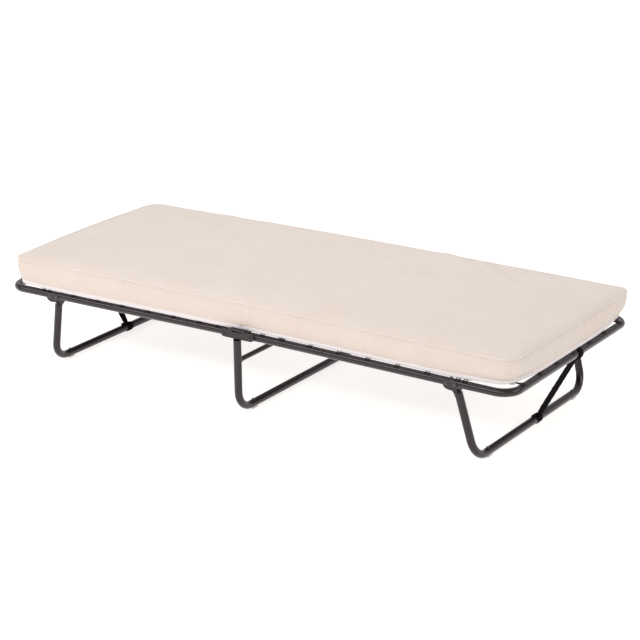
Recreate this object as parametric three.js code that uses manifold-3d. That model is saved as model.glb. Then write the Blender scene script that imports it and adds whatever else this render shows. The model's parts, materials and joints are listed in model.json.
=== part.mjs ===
// Folding cot: two hinged half frames of bent steel tube, a centre leg that carries both
// hinges, two folding end legs, a deck in each half, webbing straps and a foam mattress.
// Millimetres. +Z is up, +X points to the foot end, the floor is Z = 0.

import * as THREE from 'three';
import { mergeVertices } from 'three/addons/utils/BufferGeometryUtils.js';
import Module from 'manifold-3d';

const wasm = await Module();
wasm.setup();

// ---- driving dimensions ----

const LENGTH = 1900;                 // over the two end bars
const TUBE_RADIUS = 12.5;
const TUBE_WALL = 1.5;
const CLEARANCE = 0.3;               // gap kept between pieces that touch

const RAIL_Y = 379;                  // side rail axis, from the middle of the cot
const END_BAR_Z = 253;               // axis of the end bars above the floor
const CROWN = THREE.MathUtils.degToRad(0.47);   // each half falls away from the hinges
const FRAME_BEND = 54;               // bend radius of the frame corners, on the tube axis
const HINGE_X = 49;                  // the two hinge axes, either side of the centre leg
const RAIL_GAP = 19;                 // rail ends stop this far from the middle

const CENTRE_LEG_Y = 398;            // centre leg uprights stand outside the rails
const LEG_BEND = 62;                 // bend radius of the legs, on the tube axis
const GLIDE_PAD = 3;                 // nylon under the floor bars
const BAR_Z = TUBE_RADIUS + GLIDE_PAD;
const CROSSBAR_Z = 179;
const CROSSBAR_RADIUS = 8;

const PLATE_THICK = 3.5;
const PLATE_HALF_HEIGHT = 13.5;
const BRIDGE_WIDTH = 30;
const BRIDGE_Z = 8.2;
const RIVET_RADIUS = 4;
const HOLE_RADIUS = 4.3;

const LEG_PIVOT_X = 733;             // end leg pivots, from the middle of the cot
const LEG_PIVOT_DROP = 3;            // below the rail axis
const STOP_PIN_REACH = 27.5;         // stop pin, outboard of the leg pivot
const LEG_OFFSET = 13.6;             // tube axis outboard of its pivot
const LEG_TOP_Y = 357;               // end leg uprights lean in a little towards the floor
const LEG_FOOT_Y = 345;
const LEG_TUBE_TOP = 38;             // tube starts this far under the pivot
const TONGUE_THICK = 4;
const TONGUE_Y = 359;
const LEAN_HEAD = THREE.MathUtils.degToRad(10.5);
const LEAN_FOOT = THREE.MathUtils.degToRad(14.6);

const GLIDE_Y_CENTRE = 322;
const GLIDE_Y_END = 272;

const DECK_HALF_WIDTH = 322;
const DECK_INNER = 28;               // deck edges, from the hinge axis
const DECK_OUTER = 818;
const DECK_BOTTOM = 9.5;             // above the rail axis
const DECK_THICK = 3;

const STRAP_Y = 35;
const STRAP_LOOP_WIDTH = 24;
const STRAP_LOOP_THICK = 2.4;
const STRAP_BAND = [13, 6];          // folded webbing: across the strap, along the bars

const MATTRESS_HALF_WIDTH = 387;
const MATTRESS_BOTTOM = 17;          // above the rail axis
const MATTRESS_TOP = 111;
const MATTRESS_HEAD_END = 919;       // from the middle of the cot
const MATTRESS_FOOT_END = 948;
const MATTRESS_SPLIT = 365;          // the part nearer the hinge than this is squeezed
const MATTRESS_CORNER = 40;

const ROUND = 14;                    // sides of a tube section
const BEND_STEPS = 6;

// ---- derived dimensions ----

const END_BAR_X = (LENGTH / 2 - TUBE_RADIUS - HINGE_X) / Math.cos(CROWN);
const HINGE_Z = END_BAR_Z + END_BAR_X * Math.sin(CROWN);
const RAIL_SIDE = RAIL_Y + TUBE_RADIUS;
const SIDES = { near: -1, far: 1 };

// ---- materials ----

function paintedSteel() {
  return new THREE.MeshStandardMaterial({ color: 0x3b373b, roughness: 0.35, metalness: 0.3 });
}

function platedSteel() {
  return new THREE.MeshStandardMaterial({ color: 0x8c888b, roughness: 0.35, metalness: 0.9 });
}

function blackNylon() {
  return new THREE.MeshStandardMaterial({ color: 0x1b1a1c, roughness: 0.55, metalness: 0 });
}

function naturalNylon() {
  return new THREE.MeshStandardMaterial({ color: 0xd9d7cf, roughness: 0.55, metalness: 0 });
}

function blackWebbing() {
  return new THREE.MeshStandardMaterial({ color: 0x141214, roughness: 0.85, metalness: 0 });
}

function deckCloth() {
  return new THREE.MeshStandardMaterial({ color: 0x3a3a3d, roughness: 0.8, metalness: 0 });
}

function mattressCloth() {
  return new THREE.MeshStandardMaterial({ color: 0xe9dbd1, roughness: 0.9, metalness: 0 });
}

// ---- solids ----

function solidOf(geometry, matrix = new THREE.Matrix4()) {
  const bare = geometry.clone().applyMatrix4(matrix);
  bare.deleteAttribute('normal');
  bare.deleteAttribute('uv');
  const merged = mergeVertices(bare.index ? bare.toNonIndexed() : bare, 1e-4);
  return new wasm.Manifold(new wasm.Mesh({
    numProp: 3,
    vertProperties: new Float32Array(merged.attributes.position.array),
    triVerts: new Uint32Array(merged.index.array),
  }));
}

function geometryOf(solid) {
  const mesh = solid.getMesh();
  const geometry = new THREE.BufferGeometry();
  geometry.setAttribute('position', new THREE.BufferAttribute(mesh.vertProperties, 3));
  geometry.setIndex(new THREE.BufferAttribute(mesh.triVerts, 1));
  geometry.computeVertexNormals();
  return geometry;
}

function place(x, y, z, turnX = 0, turnY = 0) {
  const turn = new THREE.Quaternion().setFromEuler(new THREE.Euler(turnX, turnY, 0));
  return new THREE.Matrix4().compose(
    new THREE.Vector3(x, y, z), turn, new THREE.Vector3(1, 1, 1));
}

function circle(radius, sides, x = 0, y = 0) {
  return Array.from({ length: sides }, (_, i) => {
    const angle = (i * 2 * Math.PI) / sides;
    return new THREE.Vector2(x + radius * Math.cos(angle), y + radius * Math.sin(angle));
  });
}

// points on an arc, in degrees, for the outline of a plate
function arc(x, y, radius, from, to, steps = 8) {
  return Array.from({ length: steps + 1 }, (_, i) => {
    const angle = THREE.MathUtils.degToRad(from + ((to - from) * i) / steps);
    return new THREE.Vector2(x + radius * Math.cos(angle), y + radius * Math.sin(angle));
  });
}

// A path through corner points, with each corner rounded to one bend radius. Its stations
// are the ends of the straights and even steps round the bends.
class BentPath extends THREE.Curve {
  constructor(corners, bend) {
    super();
    this.stations = [corners[0].clone()];
    for (let i = 1; i < corners.length - 1; i++) {
      this.stations.push(...BentPath.bendPoints(corners[i - 1], corners[i], corners[i + 1], bend));
    }
    this.stations.push(corners[corners.length - 1].clone());
    this.steps = this.stations.length - 1;
  }

  static bendPoints(before, corner, after, bend) {
    const inward = before.clone().sub(corner).normalize();
    const outward = after.clone().sub(corner).normalize();
    const halfAngle = inward.angleTo(outward) / 2;
    const middle = inward.clone().add(outward).normalize();
    const centre = corner.clone().addScaledVector(middle, bend / Math.sin(halfAngle));
    const start = corner.clone().addScaledVector(inward, bend / Math.tan(halfAngle)).sub(centre);
    const normal = inward.clone().negate().cross(outward).normalize();
    const sweep = Math.PI - 2 * halfAngle;
    return Array.from({ length: BEND_STEPS + 1 }, (_, i) =>
      start.clone().applyAxisAngle(normal, (sweep * i) / BEND_STEPS).add(centre));
  }

  getPoint(t, target = new THREE.Vector3()) {
    const at = t * this.steps;
    const i = Math.min(Math.floor(at), this.steps - 1);
    return target.lerpVectors(this.stations[i], this.stations[i + 1], at - i);
  }

  getPointAt(t, target) {
    return this.getPoint(t, target);
  }

  getTangentAt(t, target = new THREE.Vector3()) {
    const i = Math.round(t * this.steps);
    const back = this.stations[Math.max(i - 1, 0)];
    const here = this.stations[i];
    const on = this.stations[Math.min(i + 1, this.steps)];
    const into = here.clone().sub(back).normalize();
    const away = on.clone().sub(here).normalize();
    return target.copy(into).add(away).normalize();
  }
}

function hollowTube(corners, bend, radius = TUBE_RADIUS) {
  const path = new BentPath(corners, bend);
  const section = new THREE.Shape(circle(radius, ROUND));
  section.holes.push(new THREE.Path(circle(radius - TUBE_WALL, ROUND - 4)));
  return new THREE.ExtrudeGeometry(section, { steps: path.steps, extrudePath: path });
}

// an outline drawn in the XZ plane, given a thickness along Y and centred on Y = 0
function slab(outline, thickness, holes = []) {
  const shape = new THREE.Shape(outline);
  holes.forEach((hole) => shape.holes.push(new THREE.Path(hole)));
  return new THREE.ExtrudeGeometry(shape, { depth: thickness, bevelEnabled: false })
    .rotateX(Math.PI / 2)
    .translate(0, thickness / 2, 0);
}

// a turned piece whose axis lies along Y; the profile is [radius, y] pairs from axis to axis
function turned(profile, sides = 10) {
  return new THREE.LatheGeometry(profile.map(([r, y]) => new THREE.Vector2(r, y)), sides);
}

function pin(radius, reach) {
  return turned([[0, -reach], [radius, -reach], [radius, reach], [0, reach]], ROUND);
}

function mesh(name, geometry, material) {
  const piece = new THREE.Mesh(geometry, material);
  piece.name = name;
  return piece;
}

// ---- centre leg ----

function glideShape() {
  const half = 15;
  const saddle = slab([
    new THREE.Vector2(half, 0),
    ...arc(0, BAR_Z, TUBE_RADIUS + CLEARANCE, -20, -160, 10),
    new THREE.Vector2(-half, 0),
  ], 26);
  const stemTop = BAR_Z + TUBE_RADIUS + 3;
  const stem = new THREE.LatheGeometry([
    [0, 1], [3, 1], [3, stemTop - 2.4], [5.5, stemTop - 2.4], [4.5, stemTop], [0, stemTop],
  ].map(([r, z]) => new THREE.Vector2(r, z)), 12).rotateX(Math.PI / 2);
  return geometryOf(solidOf(saddle).add(solidOf(stem)));
}

// the two stem holes in a floor bar, drilled straight up
function glideHoles(x, y, z, tilt) {
  const drill = new THREE.CylinderGeometry(3.5, 3.5, 60, 12).rotateX(Math.PI / 2);
  return Object.values(SIDES)
    .map((side) => solidOf(drill, place(x, side * y, z, 0, tilt)))
    .reduce((all, one) => all.add(one));
}

function centreLegTube() {
  const top = HINGE_Z - PLATE_HALF_HEIGHT - CLEARANCE;
  const corners = [
    new THREE.Vector3(0, -CENTRE_LEG_Y, top),
    new THREE.Vector3(0, -CENTRE_LEG_Y, BAR_Z),
    new THREE.Vector3(0, CENTRE_LEG_Y, BAR_Z),
    new THREE.Vector3(0, CENTRE_LEG_Y, top),
  ];
  const tube = solidOf(hollowTube(corners, LEG_BEND));
  return geometryOf(tube.subtract(glideHoles(0, GLIDE_Y_CENTRE, BAR_Z, 0)));
}

function crossbar() {
  const reach = CENTRE_LEG_Y - TUBE_RADIUS - CLEARANCE;
  const ends = [
    new THREE.Vector3(0, -reach, CROSSBAR_Z),
    new THREE.Vector3(0, reach, CROSSBAR_Z),
  ];
  return hollowTube(ends, LEG_BEND, CROSSBAR_RADIUS);
}

// pressed hinge plate: a long plate with round ends, a tab that plugs into the leg tube, two
// lips bent over the rail ends, which stop the halves when they lie flat, and a lower lip
// between them that bridges the gap between the rails
function hingePlate(side) {
  const notch = 16;
  const outline = [
    ...arc(HINGE_X, 0, PLATE_HALF_HEIGHT, -90, 90),
    new THREE.Vector2(notch + 3, PLATE_HALF_HEIGHT),
    new THREE.Vector2(notch, PLATE_HALF_HEIGHT - 4),
    new THREE.Vector2(-notch, PLATE_HALF_HEIGHT - 4),
    new THREE.Vector2(-notch - 3, PLATE_HALF_HEIGHT),
    ...arc(-HINGE_X, 0, PLATE_HALF_HEIGHT, 90, 270),
    new THREE.Vector2(-10, -PLATE_HALF_HEIGHT),
    new THREE.Vector2(-9, -PLATE_HALF_HEIGHT - 28),
    new THREE.Vector2(9, -PLATE_HALF_HEIGHT - 28),
    new THREE.Vector2(10, -PLATE_HALF_HEIGHT),
  ];
  const holes = [-HINGE_X, HINGE_X].map((x) => circle(HOLE_RADIUS, ROUND, x, 0).reverse());
  let solid = solidOf(slab(outline, PLATE_THICK, holes));
  const lipReach = CENTRE_LEG_Y - RAIL_Y + 8;
  const lip = new THREE.BoxGeometry(16, lipReach, 2.6);
  for (const x of [-30, 30]) {
    const lipZ = TUBE_RADIUS + 0.6 + 1.3;
    const inwards = -side * (lipReach / 2 - PLATE_THICK / 2 + 0.5);
    solid = solid.add(solidOf(lip, place(x, inwards, lipZ)));
  }
  const bridge = new THREE.BoxGeometry(BRIDGE_WIDTH, lipReach, 2);
  const bridgeIn = -side * (lipReach / 2 - PLATE_THICK / 2 + 0.5);
  solid = solid.add(solidOf(bridge, place(0, bridgeIn, BRIDGE_Z)));
  return geometryOf(solid);
}

// rivet through plate, washer and rail, with a domed head outside and a flat head inside
function hingeRivet(side) {
  const outer = CENTRE_LEG_Y + PLATE_THICK / 2 + CLEARANCE;
  const inner = RAIL_Y - TUBE_RADIUS - CLEARANCE;
  const profile = [
    [0, inner - 2.5], [6.5, inner - 2.5], [6.5, inner], [RIVET_RADIUS, inner],
    [RIVET_RADIUS, outer], [8, outer], [7.4, outer + 1.6], [4.5, outer + 2.8], [0, outer + 3.2],
  ];
  const rivet = turned(profile);
  return side > 0 ? rivet : rivet.rotateZ(Math.PI);
}

function washer(inner, outer, hole, rim) {
  return turned([[hole, inner], [rim, inner], [rim, outer], [hole, outer], [hole, inner]]);
}

function centreLeg() {
  const group = new THREE.Group();
  group.add(mesh('centre_leg_tube', centreLegTube(), paintedSteel()));
  group.add(mesh('centre_leg_crossbar', crossbar(), paintedSteel()));
  for (const [sideName, side] of Object.entries(SIDES)) {
    const plate = mesh(`hinge_plate_${sideName}`, hingePlate(side), paintedSteel());
    plate.position.set(0, side * CENTRE_LEG_Y, HINGE_Z);
    group.add(plate);
    for (const [endName, end] of [['head', -1], ['foot', 1]]) {
      const rivet = mesh(`hinge_rivet_${endName}_${sideName}`, hingeRivet(side), platedSteel());
      rivet.position.set(end * HINGE_X, 0, HINGE_Z);
      group.add(rivet);
      const spacer = mesh(`hinge_washer_${endName}_${sideName}`, washer(
        RAIL_SIDE + CLEARANCE, CENTRE_LEG_Y - PLATE_THICK / 2 - CLEARANCE,
        HOLE_RADIUS, 11.5), platedSteel());
      spacer.position.set(end * HINGE_X, 0, HINGE_Z);
      if (side < 0) {
        spacer.rotation.z = Math.PI;
      }
      group.add(spacer);
    }
    const glide = mesh(`centre_glide_${sideName}`, glideShape(), naturalNylon());
    glide.position.set(0, side * GLIDE_Y_CENTRE, 0);
    group.add(glide);
  }
  return group;
}

// ---- half frame, drawn with its hinge axis at the origin and its end bar at +X ----

function railTube() {
  const inner = RAIL_GAP - HINGE_X;
  const corners = [
    new THREE.Vector3(inner, -RAIL_Y, 0),
    new THREE.Vector3(END_BAR_X, -RAIL_Y, 0),
    new THREE.Vector3(END_BAR_X, RAIL_Y, 0),
    new THREE.Vector3(inner, RAIL_Y, 0),
  ];
  const drill = pin(HOLE_RADIUS, RAIL_SIDE + 20);
  const pivot = LEG_PIVOT_X - HINGE_X;
  const holes = [
    [0, 0], [pivot, -LEG_PIVOT_DROP], [pivot + STOP_PIN_REACH, -LEG_PIVOT_DROP],
  ];
  const tube = holes.reduce(
    (solid, [x, z]) => solid.subtract(solidOf(drill, place(x, 0, z))),
    solidOf(hollowTube(corners, FRAME_BEND)));
  return geometryOf(tube);
}

// moulded plug in the open end of a rail
function railPlug() {
  const bore = TUBE_RADIUS - TUBE_WALL - 0.6;
  return new THREE.LatheGeometry([
    [0, 12], [bore - 1, 12], [bore, 10], [bore, -CLEARANCE], [TUBE_RADIUS, -CLEARANCE],
    [TUBE_RADIUS - 1, -2.5], [0, -2.5],
  ].reverse().map(([r, x]) => new THREE.Vector2(r, x)), ROUND).rotateZ(-Math.PI / 2);
}

// pivot rivet of an end leg: through the rail and a spacer to the leg's tongue
function legRivet(side) {
  const outer = RAIL_SIDE + CLEARANCE;
  const inner = TONGUE_Y - TONGUE_THICK / 2 - CLEARANCE;
  const profile = [
    [0, inner - 2.5], [6.5, inner - 2.5], [6.5, inner], [RIVET_RADIUS, inner],
    [RIVET_RADIUS, outer], [6.5, outer], [5.5, outer + 1.8], [0, outer + 2.4],
  ];
  const rivet = turned(profile);
  return side > 0 ? rivet : rivet.rotateZ(Math.PI);
}

function halfFrame(name, end) {
  const group = new THREE.Group();
  group.add(mesh(`${name}_rail`, railTube(), paintedSteel()));
  const pivot = LEG_PIVOT_X - HINGE_X;
  for (const [sideName, side] of Object.entries(SIDES)) {
    const handed = side * end;       // the head half is turned round, so its sides swap
    const plug = mesh(`${name}_rail_plug_${sideName}`, railPlug(), blackNylon());
    plug.position.set(RAIL_GAP - HINGE_X, handed * RAIL_Y, 0);
    group.add(plug);
    const places = [['leg_pivot', pivot], ['leg_stop', pivot + STOP_PIN_REACH]];
    for (const [what, x] of places) {
      const rivet = mesh(`${name}_${what}_${sideName}`, legRivet(handed), platedSteel());
      rivet.position.set(x, 0, -LEG_PIVOT_DROP);
      group.add(rivet);
    }
    const spacer = mesh(`${name}_leg_spacer_${sideName}`, washer(
      TONGUE_Y + TONGUE_THICK / 2 + CLEARANCE, RAIL_Y - TUBE_RADIUS - CLEARANCE,
      HOLE_RADIUS, 9), platedSteel());
    spacer.position.set(pivot, 0, -LEG_PIVOT_DROP);
    if (handed < 0) {
      spacer.rotation.z = Math.PI;
    }
    group.add(spacer);
  }
  group.add(mesh(`${name}_deck`, deckPanel(), deckCloth()));
  return group;
}

// woven deck panel with a thicker hem all round
function deckPanel() {
  const hem = 12;
  const width = 2 * DECK_HALF_WIDTH;
  const length = DECK_OUTER - DECK_INNER;
  const middle = (DECK_INNER + DECK_OUTER) / 2;
  const level = DECK_BOTTOM + DECK_THICK / 2;
  const cloth = new THREE.BoxGeometry(length - hem, width - hem, DECK_THICK - 1.4);
  const rim = new THREE.BoxGeometry(length, width, DECK_THICK);
  const field = new THREE.BoxGeometry(length - 2 * hem, width - 2 * hem, DECK_THICK + 2);
  const frame = solidOf(rim, place(middle, 0, level)).subtract(
    solidOf(field, place(middle, 0, level)));
  return geometryOf(frame.add(solidOf(cloth, place(middle, 0, level))));
}

// ---- end leg, drawn with its pivot at the origin and its uprights straight down ----

function legLength(lean) {
  const pivotX = (LEG_PIVOT_X - HINGE_X) * Math.cos(CROWN) - LEG_PIVOT_DROP * Math.sin(CROWN);
  const pivotZ = HINGE_Z - pivotX * Math.tan(CROWN) - LEG_PIVOT_DROP / Math.cos(CROWN);
  return (pivotZ - BAR_Z + LEG_OFFSET * Math.sin(lean)) / Math.cos(lean);
}

function endLegTube(lean) {
  const length = legLength(lean);
  const corners = [
    new THREE.Vector3(LEG_OFFSET, -LEG_TOP_Y, -LEG_TUBE_TOP),
    new THREE.Vector3(LEG_OFFSET, -LEG_FOOT_Y, -length),
    new THREE.Vector3(LEG_OFFSET, LEG_FOOT_Y, -length),
    new THREE.Vector3(LEG_OFFSET, LEG_TOP_Y, -LEG_TUBE_TOP),
  ];
  const tube = solidOf(hollowTube(corners, LEG_BEND));
  return geometryOf(tube.subtract(glideHoles(LEG_OFFSET, GLIDE_Y_END, -length, lean)));
}

// tongue of an end leg: a hub round the pivot, a shoulder that stops against the underside
// of the stop pin, and a tab that runs down inside the tube; lean is measured off the rail
function tongue(lean) {
  const hub = 10.5;
  const tabHalf = 8;
  const stopRoom = RIVET_RADIUS + CLEARANCE;
  const stop = new THREE.Vector2(
    STOP_PIN_REACH * Math.cos(lean), -STOP_PIN_REACH * Math.sin(lean));
  const lowest = -90 - THREE.MathUtils.radToDeg(lean);
  const outline = [
    ...arc(0, 0, hub, 60, 215, 9),
    new THREE.Vector2(LEG_OFFSET - tabHalf - 3, -LEG_TUBE_TOP + 14),
    new THREE.Vector2(LEG_OFFSET - tabHalf, -LEG_TUBE_TOP + 2),
    new THREE.Vector2(LEG_OFFSET - tabHalf, -LEG_TUBE_TOP - 24),
    new THREE.Vector2(LEG_OFFSET + tabHalf, -LEG_TUBE_TOP - 24),
    new THREE.Vector2(LEG_OFFSET + tabHalf, -LEG_TUBE_TOP + 8),
    new THREE.Vector2(stop.x + 9, stop.y - 12),
    new THREE.Vector2(stop.x + 9, stop.y + 2),
    ...arc(stop.x, stop.y, stopRoom, lowest + 90, lowest - 75, 7),
    new THREE.Vector2(stop.x - 9, stop.y + 6),
  ];
  return slab(outline.reverse(), TONGUE_THICK, [circle(HOLE_RADIUS, ROUND)]);
}

function endLeg(name, end, lean) {
  const group = new THREE.Group();
  group.add(mesh(`${name}_leg_tube`, endLegTube(lean), paintedSteel()));
  for (const [sideName, side] of Object.entries(SIDES)) {
    const handed = side * end;
    const plate = mesh(`${name}_leg_tongue_${sideName}`, tongue(lean + CROWN), paintedSteel());
    plate.position.set(0, handed * TONGUE_Y, 0);
    group.add(plate);
    const glide = mesh(`${name}_glide_${sideName}`, glideShape(), naturalNylon());
    const holder = new THREE.Group();
    holder.position.set(LEG_OFFSET, handed * GLIDE_Y_END, -legLength(lean));
    holder.rotation.y = lean;
    glide.position.z = -BAR_Z;
    holder.add(glide);
    group.add(holder);
  }
  return group;
}

// ---- strap from the middle of an end bar to the floor bar of its leg ----

function strap(barX, barZ, legX) {
  const loop = (x, z) => solidOf(slab(
    circle(TUBE_RADIUS + CLEARANCE + STRAP_LOOP_THICK, ROUND + 4, x, z), STRAP_LOOP_WIDTH,
    [circle(TUBE_RADIUS + CLEARANCE + 0.25, ROUND + 4, x, z).reverse()]));
  const run = new THREE.Vector2(legX - barX, BAR_Z - barZ);
  const clear = TUBE_RADIUS + 1.5;
  const band = new THREE.BoxGeometry(STRAP_BAND[0], STRAP_BAND[1], run.length() - 2 * clear);
  const tilt = Math.atan2(run.x, run.y);
  const middle = place((barX + legX) / 2, 0, (barZ + BAR_Z) / 2, 0, tilt);
  return geometryOf(loop(barX, barZ).add(loop(legX, BAR_Z)).add(solidOf(band, middle)));
}

// ---- mattress, drawn in the frame of its half ----

function mattressBlock(from, to, roundFarEnd) {
  const half = MATTRESS_HALF_WIDTH;
  const r = MATTRESS_CORNER;
  const near = [new THREE.Vector2(from, half), new THREE.Vector2(from, -half)];
  const far = roundFarEnd
    ? [...arc(to - r, -half + r, r, -90, 0, 5), ...arc(to - r, half - r, r, 0, 90, 5)]
    : [new THREE.Vector2(to, -half), new THREE.Vector2(to, half)];
  const shape = new THREE.Shape([...near, ...far]);
  return new THREE.ExtrudeGeometry(shape, {
    depth: MATTRESS_TOP - MATTRESS_BOTTOM, bevelEnabled: false,
  }).translate(0, 0, MATTRESS_BOTTOM);
}

function mattressHalf(name, endX) {
  const group = new THREE.Group();
  const reach = endX - HINGE_X;
  group.add(mesh(`mattress_${name}_middle`,
    mattressBlock(-HINGE_X + CLEARANCE, MATTRESS_SPLIT - CLEARANCE, false), mattressCloth()));
  group.add(mesh(`mattress_${name}_end`,
    mattressBlock(MATTRESS_SPLIT, reach, true), mattressCloth()));
  return group;
}

// ---- assembly ----

function buildEnd(name, end, lean, mattressEnd) {
  const half = new THREE.Group();
  half.position.set(end * HINGE_X, 0, HINGE_Z);
  half.rotation.set(0, CROWN, end < 0 ? Math.PI : 0, 'ZYX');
  half.add(halfFrame(name, end));
  half.add(mattressHalf(name, mattressEnd));
  const leg = endLeg(name, end, lean);
  leg.position.set(LEG_PIVOT_X - HINGE_X, 0, -LEG_PIVOT_DROP);
  leg.rotation.y = -CROWN - lean;
  half.add(leg);
  return half;
}

function endStrap(name, end, lean) {
  const pivotX = HINGE_X + (LEG_PIVOT_X - HINGE_X) * Math.cos(CROWN)
    - LEG_PIVOT_DROP * Math.sin(CROWN);
  const legX = pivotX + LEG_OFFSET * Math.cos(lean) + legLength(lean) * Math.sin(lean);
  const barX = LENGTH / 2 - TUBE_RADIUS;
  const piece = mesh(`${name}_strap`, strap(end * barX, END_BAR_Z, end * legX), blackWebbing());
  piece.position.y = STRAP_Y;
  return piece;
}

const cot = new THREE.Group();
cot.add(centreLeg());
cot.add(buildEnd('head', -1, LEAN_HEAD, MATTRESS_HEAD_END));
cot.add(buildEnd('foot', 1, LEAN_FOOT, MATTRESS_FOOT_END));
cot.add(endStrap('head', -1, LEAN_HEAD));
cot.add(endStrap('foot', 1, LEAN_FOOT));

export default cot;
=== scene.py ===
"""Looks of a folding cot: bent steel tube, hinged half frames, sprung decks and a foam mattress.

Lengths are metres. +Z is up and +X points to the foot end. Each half frame is drawn in a
space of its own, with its hinge axis at the origin and its end bar at +X, and each end leg
in a space with its pivot at the origin and its uprights straight down.
"""

import json
import logging
import math
from collections.abc import Callable, Iterable, Sequence
from dataclasses import dataclass, field
from enum import Enum

import bmesh
import bpy
import numpy as np
from mathutils import Matrix, Vector, noise


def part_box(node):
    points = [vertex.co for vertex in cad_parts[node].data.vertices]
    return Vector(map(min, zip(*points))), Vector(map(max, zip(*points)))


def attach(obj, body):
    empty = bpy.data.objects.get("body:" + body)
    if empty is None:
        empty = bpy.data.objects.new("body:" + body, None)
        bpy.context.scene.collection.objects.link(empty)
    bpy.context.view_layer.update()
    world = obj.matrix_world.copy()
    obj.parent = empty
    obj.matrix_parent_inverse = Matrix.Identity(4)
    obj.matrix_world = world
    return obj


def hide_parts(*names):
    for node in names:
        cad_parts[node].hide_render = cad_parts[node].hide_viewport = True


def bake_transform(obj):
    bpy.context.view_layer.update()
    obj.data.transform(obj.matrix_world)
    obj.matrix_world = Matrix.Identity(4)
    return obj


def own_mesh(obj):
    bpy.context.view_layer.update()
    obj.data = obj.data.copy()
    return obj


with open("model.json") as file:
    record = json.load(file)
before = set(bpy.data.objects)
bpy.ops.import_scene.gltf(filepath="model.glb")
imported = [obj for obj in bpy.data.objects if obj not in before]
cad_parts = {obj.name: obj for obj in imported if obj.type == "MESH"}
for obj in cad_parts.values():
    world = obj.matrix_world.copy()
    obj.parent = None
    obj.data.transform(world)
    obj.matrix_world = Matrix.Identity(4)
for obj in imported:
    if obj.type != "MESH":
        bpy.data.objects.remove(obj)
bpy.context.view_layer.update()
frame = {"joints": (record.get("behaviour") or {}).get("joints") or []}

LOG = logging.getLogger("folding_cot")
MM = 0.001

Colour = tuple[float, float, float]
Outline = list[tuple[float, float]]
Tree = bpy.types.NodeTree
Node = bpy.types.Node
Socket = bpy.types.NodeSocket
MeshData = bpy.types.Mesh
Piece = bpy.types.Object


class End(Enum):
    """The two ends of the cot; the value is the side of the middle that the end lies on."""

    HEAD = -1
    FOOT = 1

    @property
    def label(self) -> str:
        """Name of this end as it stands in node names."""
        return self.name.lower()

    @property
    def frame_body(self) -> str:
        """Body of this end's half frame."""
        return f"{self.label}_frame"

    @property
    def leg_body(self) -> str:
        """Body of this end's folding leg."""
        return f"{self.label}_leg"


class Side(Enum):
    """The two long sides of the cot; the value is the sign of Y."""

    NEAR = -1
    FAR = 1

    @property
    def label(self) -> str:
        """Name of this side as it stands in node names."""
        return self.name.lower()


# ---- sizes shared by the sub-assemblies ----


@dataclass(frozen=True)
class CotSizes:
    """Tube sizes, axes and levels that more than one sub-assembly needs."""

    tube_radius: float = 12.5 * MM
    tube_wall: float = 1.5 * MM
    crown: float = math.radians(0.47)
    frame_bend: float = 54 * MM
    leg_bend: float = 62 * MM
    rail_gap: float = 19 * MM
    glide_pad: float = 3 * MM
    stop_reach: float = 27.5 * MM
    pivot_drop: float = 3 * MM
    tongue_thick: float = 4 * MM
    plate_thick: float = 3.5 * MM

    @property
    def hinge(self) -> Vector:
        """A point on the foot half's hinge axis."""
        return Vector(joint("foot_fold")["pos_m"])

    @property
    def rail_y(self) -> float:
        """Distance of the side rails' axes from the middle."""
        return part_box("foot_rail")[1].y - self.tube_radius

    @property
    def end_bar_x(self) -> float:
        """End bar's axis, from the hinge axis, along the half frame."""
        return (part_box("foot_rail")[1].x - self.tube_radius - self.hinge.x) / math.cos(self.crown)

    @property
    def leg_pivot_x(self) -> float:
        """End leg's pivot, from the hinge axis, along the half frame."""
        reach = joint("foot_leg_fold")["pos_m"][0] - self.hinge.x
        return (reach + self.pivot_drop * math.sin(self.crown)) / math.cos(self.crown)

    @property
    def centre_leg_y(self) -> float:
        """Axis of the centre leg's uprights, from the middle."""
        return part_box("centre_leg_tube")[1].y - self.tube_radius

    @property
    def bar_z(self) -> float:
        """Axis of the floor bars above the floor."""
        return self.tube_radius + self.glide_pad

    def half_space(self, end: End) -> Matrix:
        """Matrix from a half frame's own space to the cot's.

        Args:
            end: which half.

        Returns:
            The placing matrix.
        """
        turn = Matrix.Rotation(math.pi if end is End.HEAD else 0.0, 4, "Z")
        place = Matrix.Translation((end.value * self.hinge.x, 0, self.hinge.z))
        return place @ turn @ Matrix.Rotation(self.crown, 4, "Y")

    def leg_space(self, end: End, lean: float) -> Matrix:
        """Matrix from an end leg's own space to the cot's."""
        pivot = Matrix.Translation((self.leg_pivot_x, 0, -self.pivot_drop))
        return self.half_space(end) @ pivot @ Matrix.Rotation(-self.crown - lean, 4, "Y")


def joint(name: str) -> dict:
    """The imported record's joint of that name."""
    return next(entry for entry in frame["joints"] if entry["name"] == name)


SIZES = CotSizes()


# ---- node trees ----


def add_node(tree: Tree, kind: str, inputs: dict | None = None, **settings: object) -> Node:
    """Adds a node, sets its options and fills or links its inputs.

    Args:
        tree: the tree to add to.
        kind: the node's type name.
        inputs: input name or number to a value, or to the output socket that feeds it.
        settings: options of the node, such as operation.

    Returns:
        The new node.
    """
    made = tree.nodes.new(kind)
    for key, value in settings.items():
        setattr(made, key, value)
    for key, value in (inputs or {}).items():
        if isinstance(value, Socket):
            tree.links.new(value, made.inputs[key])
        else:
            made.inputs[key].default_value = value
    return made


def maths(tree: Tree, operation: str, *values: object, clamp: bool = False) -> Socket:
    """Adds a Math node.

    Args:
        tree: the tree to add to.
        operation: name of the Math operation.
        values: numbers or sockets for its inputs.
        clamp: whether the result stays between 0 and 1.

    Returns:
        The node's output socket.
    """
    made = add_node(tree, "ShaderNodeMath", dict(enumerate(values)), operation=operation)
    made.use_clamp = clamp
    return made.outputs[0]


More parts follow.
